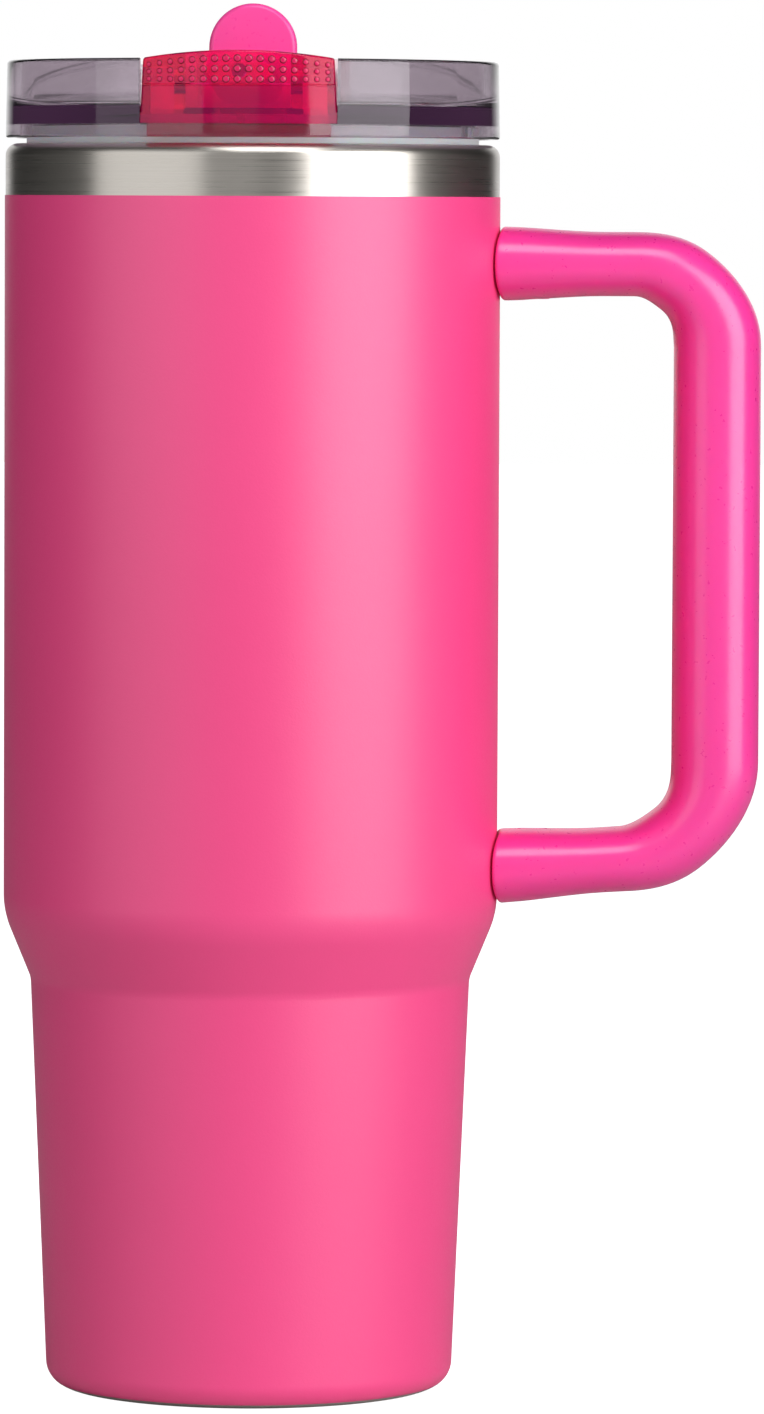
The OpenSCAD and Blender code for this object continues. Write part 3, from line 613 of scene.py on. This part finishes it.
covers = bmesh.new()
for upper, up in ((True, -1), (False, 1)):
    z = arm_z(SCREW_X, upper) + up * (HALF_ARM - 0.15)
    button = peg("button", WELL_R - 0.1, (SCREW_X, 0, z - up * 0.8), (SCREW_X, 0, z), 0.25)
    covers.from_mesh(button.data)
    bpy.data.objects.remove(button)
screw_covers = settle("screw_covers", covers)
wear(screw_covers, handle_pink)
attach(screw_covers, "cup")
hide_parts("screw_plugs")
wear(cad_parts["handle_screws"], brushed_steel)


# ------------------------------------------------------------
# Gasket: a translucent white silicone ring round the lid's plug, with one sealing fin. Its top
# shows as a pale line between the steel lip and the lid.
# ------------------------------------------------------------
milky_silicone, shader, tree = finish("milky_silicone", (0.86, 0.86, 0.87), 0.45,
                                      Subsurface_Weight=0.4, Subsurface_Scale=0.002)
raised(tree, shader, grain(tree, 1200), 0.01)

PLUG_R, PLUG_WALL = MOUTH_R - 1.45, 2.2
FLOOR_Z, FLOOR_TOP = 250.2, 253.8
GASKET_Z, GASKET_IN, GASKET_OUT = 243.1, PLUG_R + 0.25, MOUTH_R - 0.45
fin = (GASKET_Z + CUP_H) / 2
gasket = spun("gasket", [
    (GASKET_IN, GASKET_Z, 0), (GASKET_OUT, GASKET_Z, 0.2), (GASKET_OUT, fin - 0.4, 0.1),
    (MOUTH_R - 0.2, fin, 0.15), (GASKET_OUT, fin + 0.4, 0.1), (GASKET_OUT, FLOOR_Z - 0.25, 0.2),
    (GASKET_IN, FLOOR_Z - 0.25, 0)], steps=4)
wear(gasket, milky_silicone)
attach(gasket, "lid_seal")
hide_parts("lid_gasket")


# ------------------------------------------------------------
# Lid: one clear, smoke-tinted moulding with a deep rim, a tray with a sloping bead round it, and
# a threaded plug with a boss for the straw. A notch in the rim and tray takes the spout guard.
# ------------------------------------------------------------
def dyed(tree, colour, density):
    """Dye in a clear plastic: what is not the given colour fades with the depth, per metre."""
    dye = tree.nodes.new("ShaderNodeVolumeAbsorption")
    dye.inputs["Color"].default_value = (*colour, 1)
    dye.inputs["Density"].default_value = density
    tree.links.new(dye.outputs[0], tree.nodes["Material Output"].inputs["Volume"])


smoke_clear, shader, tree = finish("smoke_clear", (0.56, 0.52, 0.55), 0.04, IOR=1.49,
                                   Transmission_Weight=1.0)
dyed(tree, (0.5, 0.3, 0.5), 60)
ripple = grain(tree, 60, detail=2.0)
tree.links.new(spread(tree, ripple, 0.03, 0.07), shader.inputs["Roughness"])
raised(tree, shader, ripple, 0.01, 0.3)

LID_R, LID_Z = 48.85, 247.6
LID_TOP = LID_Z + 15.2
DRAFT, RIM_W = 0.3, 2.6           # the rim leans in by DRAFT towards its top
TRAY_R, SKIRT_R = LID_R - DRAFT - RIM_W, LID_R - 2.4
PLUG_Z = CUP_H - 14
SEAL_R, BOSS_R, SLEEVE_R = 6.5, 8.0, 5.0
STRAW_TOP = 247.5
GUARD_Z, GUARD_BACK, GUARD_W, GUARD_R = FLOOR_TOP - 1.8, 13.0, 38.0, LID_R - 0.1
BEAD_Z, BEAD_SLOPE = FLOOR_TOP + 2.6, 4.2
TONGUE_W = 35.0
VENT_Y = PLUG_R - PLUG_WALL - 12.7
LID_ANGLE = -2.7                  # how far the tightened lid stands from the cross line, degrees
FIT, SLACK = 0.02, 0.1            # how far the guard is inside its notch's lines, and the notch outside
ABOVE = 280.0                     # higher than everything, for the tops of cutters


def clocked(piece):
    """Turns a lid piece to where the tightened lid comes to rest."""
    piece.data.transform(Matrix.Rotation(math.radians(LID_ANGLE), 4, "Z"))
    return piece


def column(name, outline, low, high, steps=10):
    """An upright bar with the given plan."""
    plan = rounded(outline, steps)
    shape = bmesh.new()
    lofted(shape, [[shape.verts.new((p.x * MM, p.y * MM, z * MM)) for p in plan] for z in (low, high)])
    return settle(name, shape)


def tongue(grow, low, high):
    """The guard's tongue, which hangs through a slot in the lid floor behind the lid's edge."""
    arc = spun("tongue", [(MOUTH_R + 0.1 - grow, low, 0), (SKIRT_R - 0.2 + grow, low, 0),
                          (SKIRT_R - 0.2 + grow, high, 0), (MOUTH_R + 0.1 - grow, high, 0)], 240)
    half = TONGUE_W / 2 + grow
    sides = column("tongue_sides", [(-half, -60, 0), (half, -60, 0), (half, 0, 0), (-half, 0, 0)],
                   low - 1, high + 1)
    return settle("tongue", carved(arc, [sides], "INTERSECT"))


def guard_plan(grow):
    """Outline of the guard seen from above, open past the lid's front."""
    half, front, back = GUARD_W / 2 + grow, -52.0, GUARD_BACK + grow
    return [(-half, front, 0), (half, front, 0), (half, back, 5), (-half, back, 5)]


def foot(grow, low, high):
    """Lower edge of the guard's front, which stands on the lid's skirt; grown, it cuts its seat."""
    front = 60 if grow else GUARD_R - 0.2
    arc = spun("foot", [(MOUTH_R + 0.1 - grow, low, 0), (front, low, 0),
                        (front, high, 0), (MOUTH_R + 0.1 - grow, high, 0)], 240)
    half = GUARD_W / 2 + (grow or -FIT)
    sides = column("foot_sides", [(-half, -70, 0), (half, -70, 0), (half, 0, 0), (-half, 0, 0)],
                   low - 1, high + 1)
    return settle("foot", carved(arc, [sides], "INTERSECT"))


lid_blank = spun("lid_blank", [
    (0, FLOOR_Z, 0), (PLUG_R - PLUG_WALL, FLOOR_Z, 1), (PLUG_R - PLUG_WALL, PLUG_Z, 0.6),
    (PLUG_R, PLUG_Z, 0.6),
    (PLUG_R, FLOOR_Z, 0), (SKIRT_R, FLOOR_Z, 0), (SKIRT_R, LID_Z, 0.5), (LID_R, LID_Z, 0.5),
    (LID_R - DRAFT, LID_TOP, 0.7), (TRAY_R, LID_TOP, 0.8), (TRAY_R, FLOOR_TOP, 1),
    (0, FLOOR_TOP - 0.8, 0)], segments=240, steps=8)
bead = spun("bead", [(TRAY_R - 0.9, -0.9, 0.3), (TRAY_R + 1, -0.9, 0), (TRAY_R + 1, 0, 0),
                     (TRAY_R - 0.9, 0, 0.3)], 240, 4)
bead.data.transform(Matrix.Translation((0, 0, BEAD_Z * MM))
                    @ Matrix.Rotation(math.radians(BEAD_SLOPE), 4, "X"))
joined = carved(lid_blank, [
    bead, ridge("lid_ridge", PLUG_R, LID_THREAD_Z, 1),
    peg("boss", BOSS_R, (0, 0, PLUG_Z), (0, 0, FLOOR_Z + 1))], "UNION")
lid_solid = settle("lid_solid", joined)
ribs = []                         # four small ones, which brace the skirt from inside
for angle in (24, 156, 204, 336):
    rib = block("rib", (SKIRT_R - 1.1, -1.1, LID_Z + 0.4), (SKIRT_R + 0.6, 1.1, FLOOR_Z + 0.4))
    rib.data.transform(Matrix.Rotation(math.radians(angle), 4, "Z"))
    ribs.append(rib)
lid_solid = settle("lid_solid", carved(lid_solid, ribs, "UNION"))
lid = clocked(settle("clear_lid", carved(lid_solid, [
    column("notch", guard_plan(SLACK), GUARD_Z, ABOVE), foot(SLACK, FLOOR_Z, GUARD_Z + 0.5),
    tongue(SLACK, FLOOR_Z - 1, GUARD_Z + 1),
    peg("seal_seat", SEAL_R + 0.1, (0, 0, GUARD_Z - 3), (0, 0, ABOVE)),
    peg("port", 2.4, (0, 0, STRAW_TOP - 1.5), (0, 0, GUARD_Z - 2)),
    peg("straw_seat", SLEEVE_R + 0.1, (0, 0, PLUG_Z - 2.5), (0, 0, STRAW_TOP)),
    peg("valve_hole", 1.3, (0, VENT_Y, FLOOR_Z - 5), (0, VENT_Y, ABOVE), sides=32),
    peg("air_hole", 0.7, (-2.6, VENT_Y, FLOOR_Z - 5), (-2.6, VENT_Y, ABOVE), sides=24),
    peg("air_hole", 0.7, (2.6, VENT_Y, FLOOR_Z - 5), (2.6, VENT_Y, ABOVE), sides=24)])))
wear(lid, smoke_clear)
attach(lid, "lid")
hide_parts("lid_shell")


# ------------------------------------------------------------
# Spout guard: a clear block dyed red-pink, pressed into the lid's notch. Its front lies flush
# with the rim, its crown is arched, and three rows of small domes give the thumb a grip.
# ------------------------------------------------------------
berry_clear, shader, tree = finish("berry_clear", (1.0, 0.012, 0.25), 0.08, IOR=1.38,
                                   Transmission_Weight=0.8)
dyed(tree, (1.0, 0.0, 0.0), 40)
flow = grain(tree, 80, detail=2.0)
tree.links.new(spread(tree, flow, 0.05, 0.1), shader.inputs["Roughness"])
raised(tree, shader, flow, 0.01, 0.3)

CROWN_TOP, CROWN_DROP = LID_TOP + 1.5, 1.5
CROWN_R = ((GUARD_W / 2) ** 2 + CROWN_DROP ** 2) / (2 * CROWN_DROP)
CHANNEL, CHANNEL_WALL, CHANNEL_FLOOR = 10.0, 2.2, 1.2
FRONT_WALL = 2.4
HUB_R = 6.0
AXLE_Z = GUARD_Z + HUB_R + 0.3
STEP_Z = GUARD_Z + 5.7            # a fine groove here, and the face below it stands 0.2 mm back


def guard_block():
    """The solid block, lofted from side to side: each section is cut front to back."""
    half = GUARD_W / 2 - FIT
    soft = 0.5
    near = [0, 0.03, 0.1, 0.2, 0.33, soft]
    across = [-half + s for s in near] + [-half + soft + (2 * half - 1) * k / 40 for k in range(1, 40)]
    across += [half - s for s in reversed(near)]
    shape = bmesh.new()
    rings = []
    for x in across:
        s = min(soft, half - abs(x))
        inset = soft - math.sqrt(soft ** 2 - (soft - s) ** 2)
        crown = CROWN_TOP - CROWN_R + math.sqrt(CROWN_R ** 2 - x ** 2) - inset
        line = [(GUARD_Z, GUARD_R - 0.2), (STEP_Z - 0.3, GUARD_R - 0.2), (STEP_Z - 0.2, GUARD_R - 0.5),
                (STEP_Z, GUARD_R - 0.5), (STEP_Z + 0.15, GUARD_R)]
        line += [(crown - soft * (1 - math.sin(t)), GUARD_R - 0.15 - soft * (1 - math.cos(t)))
                 for t in (math.pi / 2 * k / 5 for k in range(6))]
        ring = []
        for z, radius in line:
            q = x * (1 - 0.6 / half * (z - GUARD_Z) / (CROWN_TOP - GUARD_Z))
            ring.append((q, inset - math.sqrt(radius ** 2 - q ** 2), z))
        q = ring[-1][0]
        ring += [(q, GUARD_BACK - FIT, crown), (x, GUARD_BACK - FIT, GUARD_Z)]
        rings.append([shape.verts.new(Vector(p) * MM) for p in ring])
    lofted(shape, rings)
    return settle("guard_blank", shape)


inner_front = LID_R - DRAFT - FRONT_WALL
side_low = CHANNEL + CHANNEL_WALL
side_high = GUARD_W / 2 - CHANNEL_WALL
round_front = [(x, -math.sqrt(inner_front ** 2 - x ** 2), 0)
               for x in (-CHANNEL + 2 * CHANNEL * k / 24 for k in range(25))]
cutters = [
    column("channel", round_front + [(CHANNEL, GUARD_BACK + 2, 0), (-CHANNEL, GUARD_BACK + 2, 0)],
           GUARD_Z + CHANNEL_FLOOR, ABOVE),
    peg("hub_room", HUB_R + 0.4, (-CHANNEL, 0, AXLE_Z), (CHANNEL, 0, AXLE_Z)),
    peg("seal_hole", SEAL_R + 0.1, (0, 0, GUARD_Z - 1), (0, 0, GUARD_Z + 2)),
    peg("axle_hole", 2.05, (-side_low - 1, 0, AXLE_Z), (side_low + 1, 0, AXLE_Z))]
for side in (-1, 1):
    front_arc = [(side * x, -math.sqrt(inner_front ** 2 - x ** 2), 0)
                 for x in (side_low + (side_high - side_low) * k / 6 for k in range(7))]
    cutters.append(column("shoulder_hollow", front_arc
                          + [(side * side_high, GUARD_BACK - 4, 2),
                             (side * side_low, GUARD_BACK - CHANNEL_WALL, 0.5)],
                          GUARD_Z - 1, LID_TOP - 2))
guard_trim = column("guard_trim", guard_plan(-FIT), GUARD_Z - 2, ABOVE)
guard_blank = settle("guard_blank", carved(guard_block(), [guard_trim], "INTERSECT"))


def thumb_grip():
    """Rows of flattened domes on the guard's front, which follow the crown's arch."""
    tree = bpy.data.node_groups.new("thumb_grip", "GeometryNodeTree")
    sockets = {}
    for name, kind, value in (("Domes per row", "NodeSocketInt", 17), ("Rows", "NodeSocketInt", 3),
                              ("Pitch across", "NodeSocketFloat", 2.2 * MM),
                              ("Pitch down", "NodeSocketFloat", 2.0 * MM),
                              ("Dome radius", "NodeSocketFloat", 0.74 * MM),
                              ("Dome flatness", "NodeSocketFloat", 0.42),
                              ("Front radius", "NodeSocketFloat", (GUARD_R - 0.07) * MM),
                              ("Crown radius", "NodeSocketFloat", CROWN_R * MM),
                              ("Top row height", "NodeSocketFloat", (CROWN_TOP - 1.6) * MM),
                              ("Shrink at the ends", "NodeSocketFloat", 0.36)):
        socket = tree.interface.new_socket(name, in_out="INPUT", socket_type=kind)
        socket.default_value = value
        sockets[name] = socket
    tree.interface.new_socket("Geometry", in_out="OUTPUT", socket_type="NodeSocketGeometry")
    nodes, links = tree.nodes, tree.links
    given, made = nodes.new("NodeGroupInput"), nodes.new("NodeGroupOutput")

    def worked(kind, a, b=None):
        """The result of one maths node on sockets or plain numbers."""
        node = nodes.new("ShaderNodeMath")
        node.operation = kind
        for i, value in enumerate((a, b)):
            if value is None:
                continue
            if isinstance(value, (int, float)):
                node.inputs[i].default_value = value
            else:
                links.new(value, node.inputs[i])
        return node.outputs[0]

    total = worked("MULTIPLY", given.outputs["Domes per row"], given.outputs["Rows"])
    row_points = nodes.new("GeometryNodePoints")
    links.new(total, row_points.inputs["Count"])
    index = nodes.new("GeometryNodeInputIndex").outputs[0]
    across = worked("MODULO", index, given.outputs["Domes per row"])
    row = worked("FLOOR", worked("DIVIDE", index, given.outputs["Domes per row"]))
    middle = worked("DIVIDE", worked("SUBTRACT", given.outputs["Domes per row"], 1), 2)
    along = worked("MULTIPLY", worked("SUBTRACT", across, middle), given.outputs["Pitch across"])
    angle = worked("DIVIDE", along, given.outputs["Front radius"])
    x = worked("MULTIPLY", worked("SINE", angle), given.outputs["Front radius"])
    y = worked("MULTIPLY", worked("COSINE", angle), worked("MULTIPLY", given.outputs["Front radius"], -1))
    sag = worked("DIVIDE", worked("MULTIPLY", x, x), worked("MULTIPLY", given.outputs["Crown radius"], 2))
    drop = worked("MULTIPLY", row, given.outputs["Pitch down"])
    arch = worked("MULTIPLY", sag, worked("SUBTRACT", 1, worked("MULTIPLY", row, 0.5)))
    z = worked("SUBTRACT", worked("SUBTRACT", given.outputs["Top row height"], arch), drop)
    place = nodes.new("ShaderNodeCombineXYZ")
    for i, value in enumerate((x, y, z)):
        links.new(value, place.inputs[i])
    links.new(place.outputs[0], row_points.inputs["Position"])
    dome = nodes.new("GeometryNodeMeshUVSphere")
    dome.inputs["Segments"].default_value = 18
    dome.inputs["Rings"].default_value = 12
    links.new(given.outputs["Dome radius"], dome.inputs["Radius"])
    aside = worked("DIVIDE", x, (GUARD_W / 2) * MM)
    size = worked("SUBTRACT", 1, worked("MULTIPLY", worked("MULTIPLY", aside, aside),
                                        given.outputs["Shrink at the ends"]))
    flat = nodes.new("ShaderNodeCombineXYZ")
    for i, value in enumerate((size, worked("MULTIPLY", size, given.outputs["Dome flatness"]), size)):
        links.new(value, flat.inputs[i])
    facing = nodes.new("ShaderNodeCombineXYZ")
    links.new(angle, facing.inputs["Z"])
    stud = nodes.new("GeometryNodeInstanceOnPoints")
    links.new(flat.outputs[0], stud.inputs["Scale"])
    links.new(facing.outputs[0], stud.inputs["Rotation"])
    links.new(row_points.outputs[0], stud.inputs["Points"])
    links.new(dome.outputs["Mesh"], stud.inputs["Instance"])
    real = nodes.new("GeometryNodeRealizeInstances")
    links.new(stud.outputs[0], real.inputs[0])
    smooth = nodes.new("GeometryNodeSetShadeSmooth")
    links.new(real.outputs[0], smooth.inputs[0])
    clothe = nodes.new("GeometryNodeSetMaterial")
    clothe.inputs["Material"].default_value = berry_clear
    links.new(smooth.outputs[0], clothe.inputs["Geometry"])
    links.new(clothe.outputs[0], made.inputs[0])
    return tree, sockets


grip_tree, grip_sockets = thumb_grip()
grip_domes = bpy.data.objects.new("grip_domes", bpy.data.meshes.new("grip_domes"))
scene.collection.objects.link(grip_domes)
studs = grip_domes.modifiers.new("thumb_grip", "NODES")
studs.node_group = grip_tree
studs[grip_sockets["Domes per row"].identifier] = 17

guard_solid = settle("guard_solid", carved(guard_blank, cutters))
guard_shape = carved(guard_solid, [foot(0, FLOOR_Z + 0.1, GUARD_Z + 0.3),
                                   tongue(0, LID_Z + 0.4, GUARD_Z + 1)], "UNION")
wall_faces = len(guard_shape.faces)
guard_shape.from_mesh(baked(grip_domes))
bpy.data.objects.remove(grip_domes)
guard = clocked(settle("spout_guard_block", guard_shape, 28))
wear(guard, berry_clear)

# Dome tops take a less clear copy of the plastic, which scatters the light and glows. Their steep flanks
# take a dark copy, a painted shade ring round each dome, for the light that the flanks turn back.
berry_dome, shader, tree = finish("berry_dome", (0.95, 0.012, 0.15), 0.12, IOR=1.49,
                                  Transmission_Weight=0.3)
raised(tree, shader, grain(tree, 80, detail=2.0), 0.01, 0.3)
painted_shade_ring, shader, tree = finish("painted_shade_ring", (0.2, 0.002, 0.025), 0.25, IOR=1.49,
                                  Transmission_Weight=0.2)
raised(tree, shader, grain(tree, 80, detail=2.0), 0.01, 0.3)
guard.data.materials.append(berry_dome)
guard.data.materials.append(painted_shade_ring)
# Steep dome faces get the dark copy, the painted shade ring; the rest of each dome gets the dome copy.
for face in guard.data.polygons[wall_faces:]:
    out = Vector((face.center.x, face.center.y, 0))
    face.material_index = 2 if face.normal.angle(out) > math.radians(23) else 1
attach(guard, "lid")
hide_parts("spout_guard")


# ------------------------------------------------------------
# Drinking way under the spout: a silicone seat that the hub turns on, a sleeve that grips the
# straw, and the straw, with four notches at its foot. A silicone valve lets air in.
# ------------------------------------------------------------
straw_clear, shader, tree = finish("straw_clear", (0.93, 0.93, 0.95), 0.12, IOR=1.47,
                                   Transmission_Weight=0.6)
raised(tree, shader, grain(tree, 400), 0.01)

seat_blank = spun("seat_blank", [(2.4, GUARD_Z - 3, 0), (SEAL_R, GUARD_Z - 3, 0.2),
                                 (SEAL_R, GUARD_Z + 1.2, 0.2), (2.4, GUARD_Z + 1.2, 0)], 96, 4)
spout_seat = clocked(settle("spout_seat", carved(seat_blank, [
    peg("hub_bed", HUB_R + 0.15, (-9, 0, AXLE_Z), (9, 0, AXLE_Z))])))
STRAW_R, STRAW_BORE_R = 4.0, 3.2
STRAW_LOW, SLEEVE_LOW = 11.6, 238.5
straw_grip = clocked(spun("straw_grip", [
    (STRAW_R, SLEEVE_LOW, 0), (SLEEVE_R, SLEEVE_LOW, 0.2), (SLEEVE_R, STRAW_TOP, 0.2),
    (STRAW_R, STRAW_TOP, 0)], 96, 4))
straw_blank = spun("straw_blank", [
    (STRAW_BORE_R, STRAW_LOW, 0.2), (STRAW_R, STRAW_LOW, 0.2), (STRAW_R, STRAW_TOP, 0.2),
    (STRAW_BORE_R, STRAW_TOP, 0.2)], 64, 4)
straw = clocked(settle("drinking_straw", carved(straw_blank, [
    peg("notch", 1.6, (-9, 0, STRAW_LOW), (9, 0, STRAW_LOW), sides=32),
    peg("notch", 1.6, (0, -9, STRAW_LOW), (0, 9, STRAW_LOW), sides=32)])))
valve = spun("air_valve", [
    (0, FLOOR_Z - 1, 0), (4.6, FLOOR_Z - 0.5, 0.2), (4.6, FLOOR_Z, 0), (1.2, FLOOR_Z, 0),
    (1.2, FLOOR_TOP + 0.1, 0), (1.9, FLOOR_TOP + 0.3, 0.3), (0.72, FLOOR_TOP + 1.8, 0.5),
    (0, FLOOR_TOP + 1.8, 0)], 48, 5)
valve.data.transform(Matrix.Translation((0, VENT_Y * MM, 0)))
clocked(valve)
for piece, node, skin_of, slot in (
        (spout_seat, "spout_seal", milky_silicone, "clear_silicone"),
        (straw_grip, "straw_sleeve", milky_silicone, "clear_silicone"),
        (straw, "straw", straw_clear, "straw_plastic"),
        (valve, "vent_valve", milky_silicone, "clear_silicone")):
    wear(piece, skin_of)
    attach(piece, "lid")
    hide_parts(node)


# ------------------------------------------------------------
# Flip lever: thumb tab, hub, two axle stubs and the mouthpiece's neck in one opaque pink
# moulding. Pressing the tab back swings the spout up out of its channel.
# ------------------------------------------------------------
lever_pink, shader, tree = finish("lever_pink", (1.0, 0.075, 0.38), 0.3,
                                  Subsurface_Weight=0.1, Subsurface_Scale=0.003)
fine = grain(tree, 1100, detail=3.0)
tree.links.new(spread(tree, fine, 0.26, 0.36), shader.inputs["Roughness"])
raised(tree, shader, fine, 0.01, 0.4)

TAB_W, TAB_T, TAB_H = 17.4, 3.0, 16.0
NECK_L, SPIGOT_L, SPIGOT_R = 10.0, 8.0, 3.4


def thumb_tab():
    """An upright plate with a half-round head and rounded rims."""
    half = TAB_W / 2
    head_z = AXLE_Z + TAB_H - half
    outline = [(-half, AXLE_Z - 2), (half, AXLE_Z - 2)]
    outline += [(half * math.cos(a), head_z + half * math.sin(a))
                for a in (math.pi * k / 48 for k in range(49))]
    shape = bmesh.new()
    rim = 1.1
    rows = [(-TAB_T / 2 + rim * (1 - math.cos(t)), rim * (1 - math.sin(t)))
            for t in (math.pi / 2 * k / 6 for k in range(7))]
    rows += [(-y, inset) for y, inset in reversed(rows)]
    rings = []
    for y, inset in rows:
        ring = []
        for x, z in outline:
            if z <= head_z + 1e-6:
                q = (x - math.copysign(inset, x), z)
            else:
                way = Vector((x, z - head_z)).normalized()
                q = (x - way.x * inset, z - way.y * inset)
            ring.append(shape.verts.new((q[0] * MM, y * MM, q[1] * MM)))
        rings.append(ring)
    lofted(shape, rings)
    return settle("thumb_tab", shape)


lever_solid = settle("lever_solid", carved(thumb_tab(), [
    peg("hub", HUB_R, (-CHANNEL + 0.4, 0, AXLE_Z), (CHANNEL - 0.4, 0, AXLE_Z), 0.5, 96),
    peg("axle", 2.0, (-side_low + 0.3, 0, AXLE_Z), (side_low - 0.3, 0, AXLE_Z), 0.3),
    block("neck", (-5.5, -NECK_L, AXLE_Z - 3.7), (5.5, 0, AXLE_Z + 3.7), 0.8),
    peg("spigot", SPIGOT_R, (0, -NECK_L - SPIGOT_L, AXLE_Z), (0, -NECK_L + 2, AXLE_Z), 0.3)], "UNION"))
lever = clocked(settle("flip_lever_moulding", carved(lever_solid, [
    peg("bore", 2.4, (0, -NECK_L - SPIGOT_L - 2, AXLE_Z), (0, HUB_R + 2, AXLE_Z))])))
wear(lever, lever_pink)
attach(lever, "spout")
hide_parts("flip_lever")


# ------------------------------------------------------------
# Mouthpiece: a soft pink silicone tip pushed over the neck's spigot, wide and flat at the lips.
# Its upper side is level when folded down, and its bore climbs to a small round mouth.
# ------------------------------------------------------------
soft_pink, shader, tree = finish("soft_pink", (1.0, 0.05, 0.4), 0.5,
                                 Subsurface_Weight=0.2, Subsurface_Scale=0.003)
raised(tree, shader, grain(tree, 1500), 0.015)

MOUTH_W, BASE_H, TIP_H = 13.0, 8.4, 4.4
REACH, TIP_RUN = 43.8, 25.8


def soft_tip():
    """The mouthpiece's solid shape: level above, and thinning from below towards the mouth."""
    high = AXLE_Z + BASE_H / 2
    around = 56
    rows = [(0.0, 0.9), (0.12, 0.5), (0.4, 0.16), (0.9, 0.0), (6, 0), (12, 0), (18, 0), (22, 0),
            (TIP_RUN, 0), (28, 0), (31, 0), (33.3, 0.05), (33.6, 0.2), (33.7, 0.45)]
    shape = bmesh.new()
    rings = []
    for depth, inset in rows:
        y = -REACH + depth
        height = TIP_H + (BASE_H - TIP_H) * min(1.0, depth / TIP_RUN)
        ring = []
        for k in range(around):
            a = 2 * math.pi * k / around
            c, s = math.cos(a), math.sin(a)
            x = (MOUTH_W / 2 - inset) * math.copysign(abs(c) ** 0.75, c)
            z = high - height / 2 + (height / 2 - inset) * math.copysign(abs(s) ** 0.75, s)
            ring.append(shape.verts.new((x * MM, y * MM, z * MM)))
        rings.append(ring)
    lofted(shape, rings)
    return settle("soft_tip", shape)


tip_z = AXLE_Z + BASE_H / 2 - TIP_H / 2
mouth = clocked(settle("mouthpiece_tip", carved(soft_tip(), [
    peg("socket", SPIGOT_R + 0.01, (0, -NECK_L - SPIGOT_L, AXLE_Z), (0, -NECK_L + 1, AXLE_Z)),
    peg("mouth_bore", 1.5, (0, -NECK_L - SPIGOT_L + 1, AXLE_Z),
        (0, -REACH - 2, tip_z + 0.15), sides=48)])))
wear(mouth, soft_pink)
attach(mouth, "spout")
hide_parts("mouthpiece")
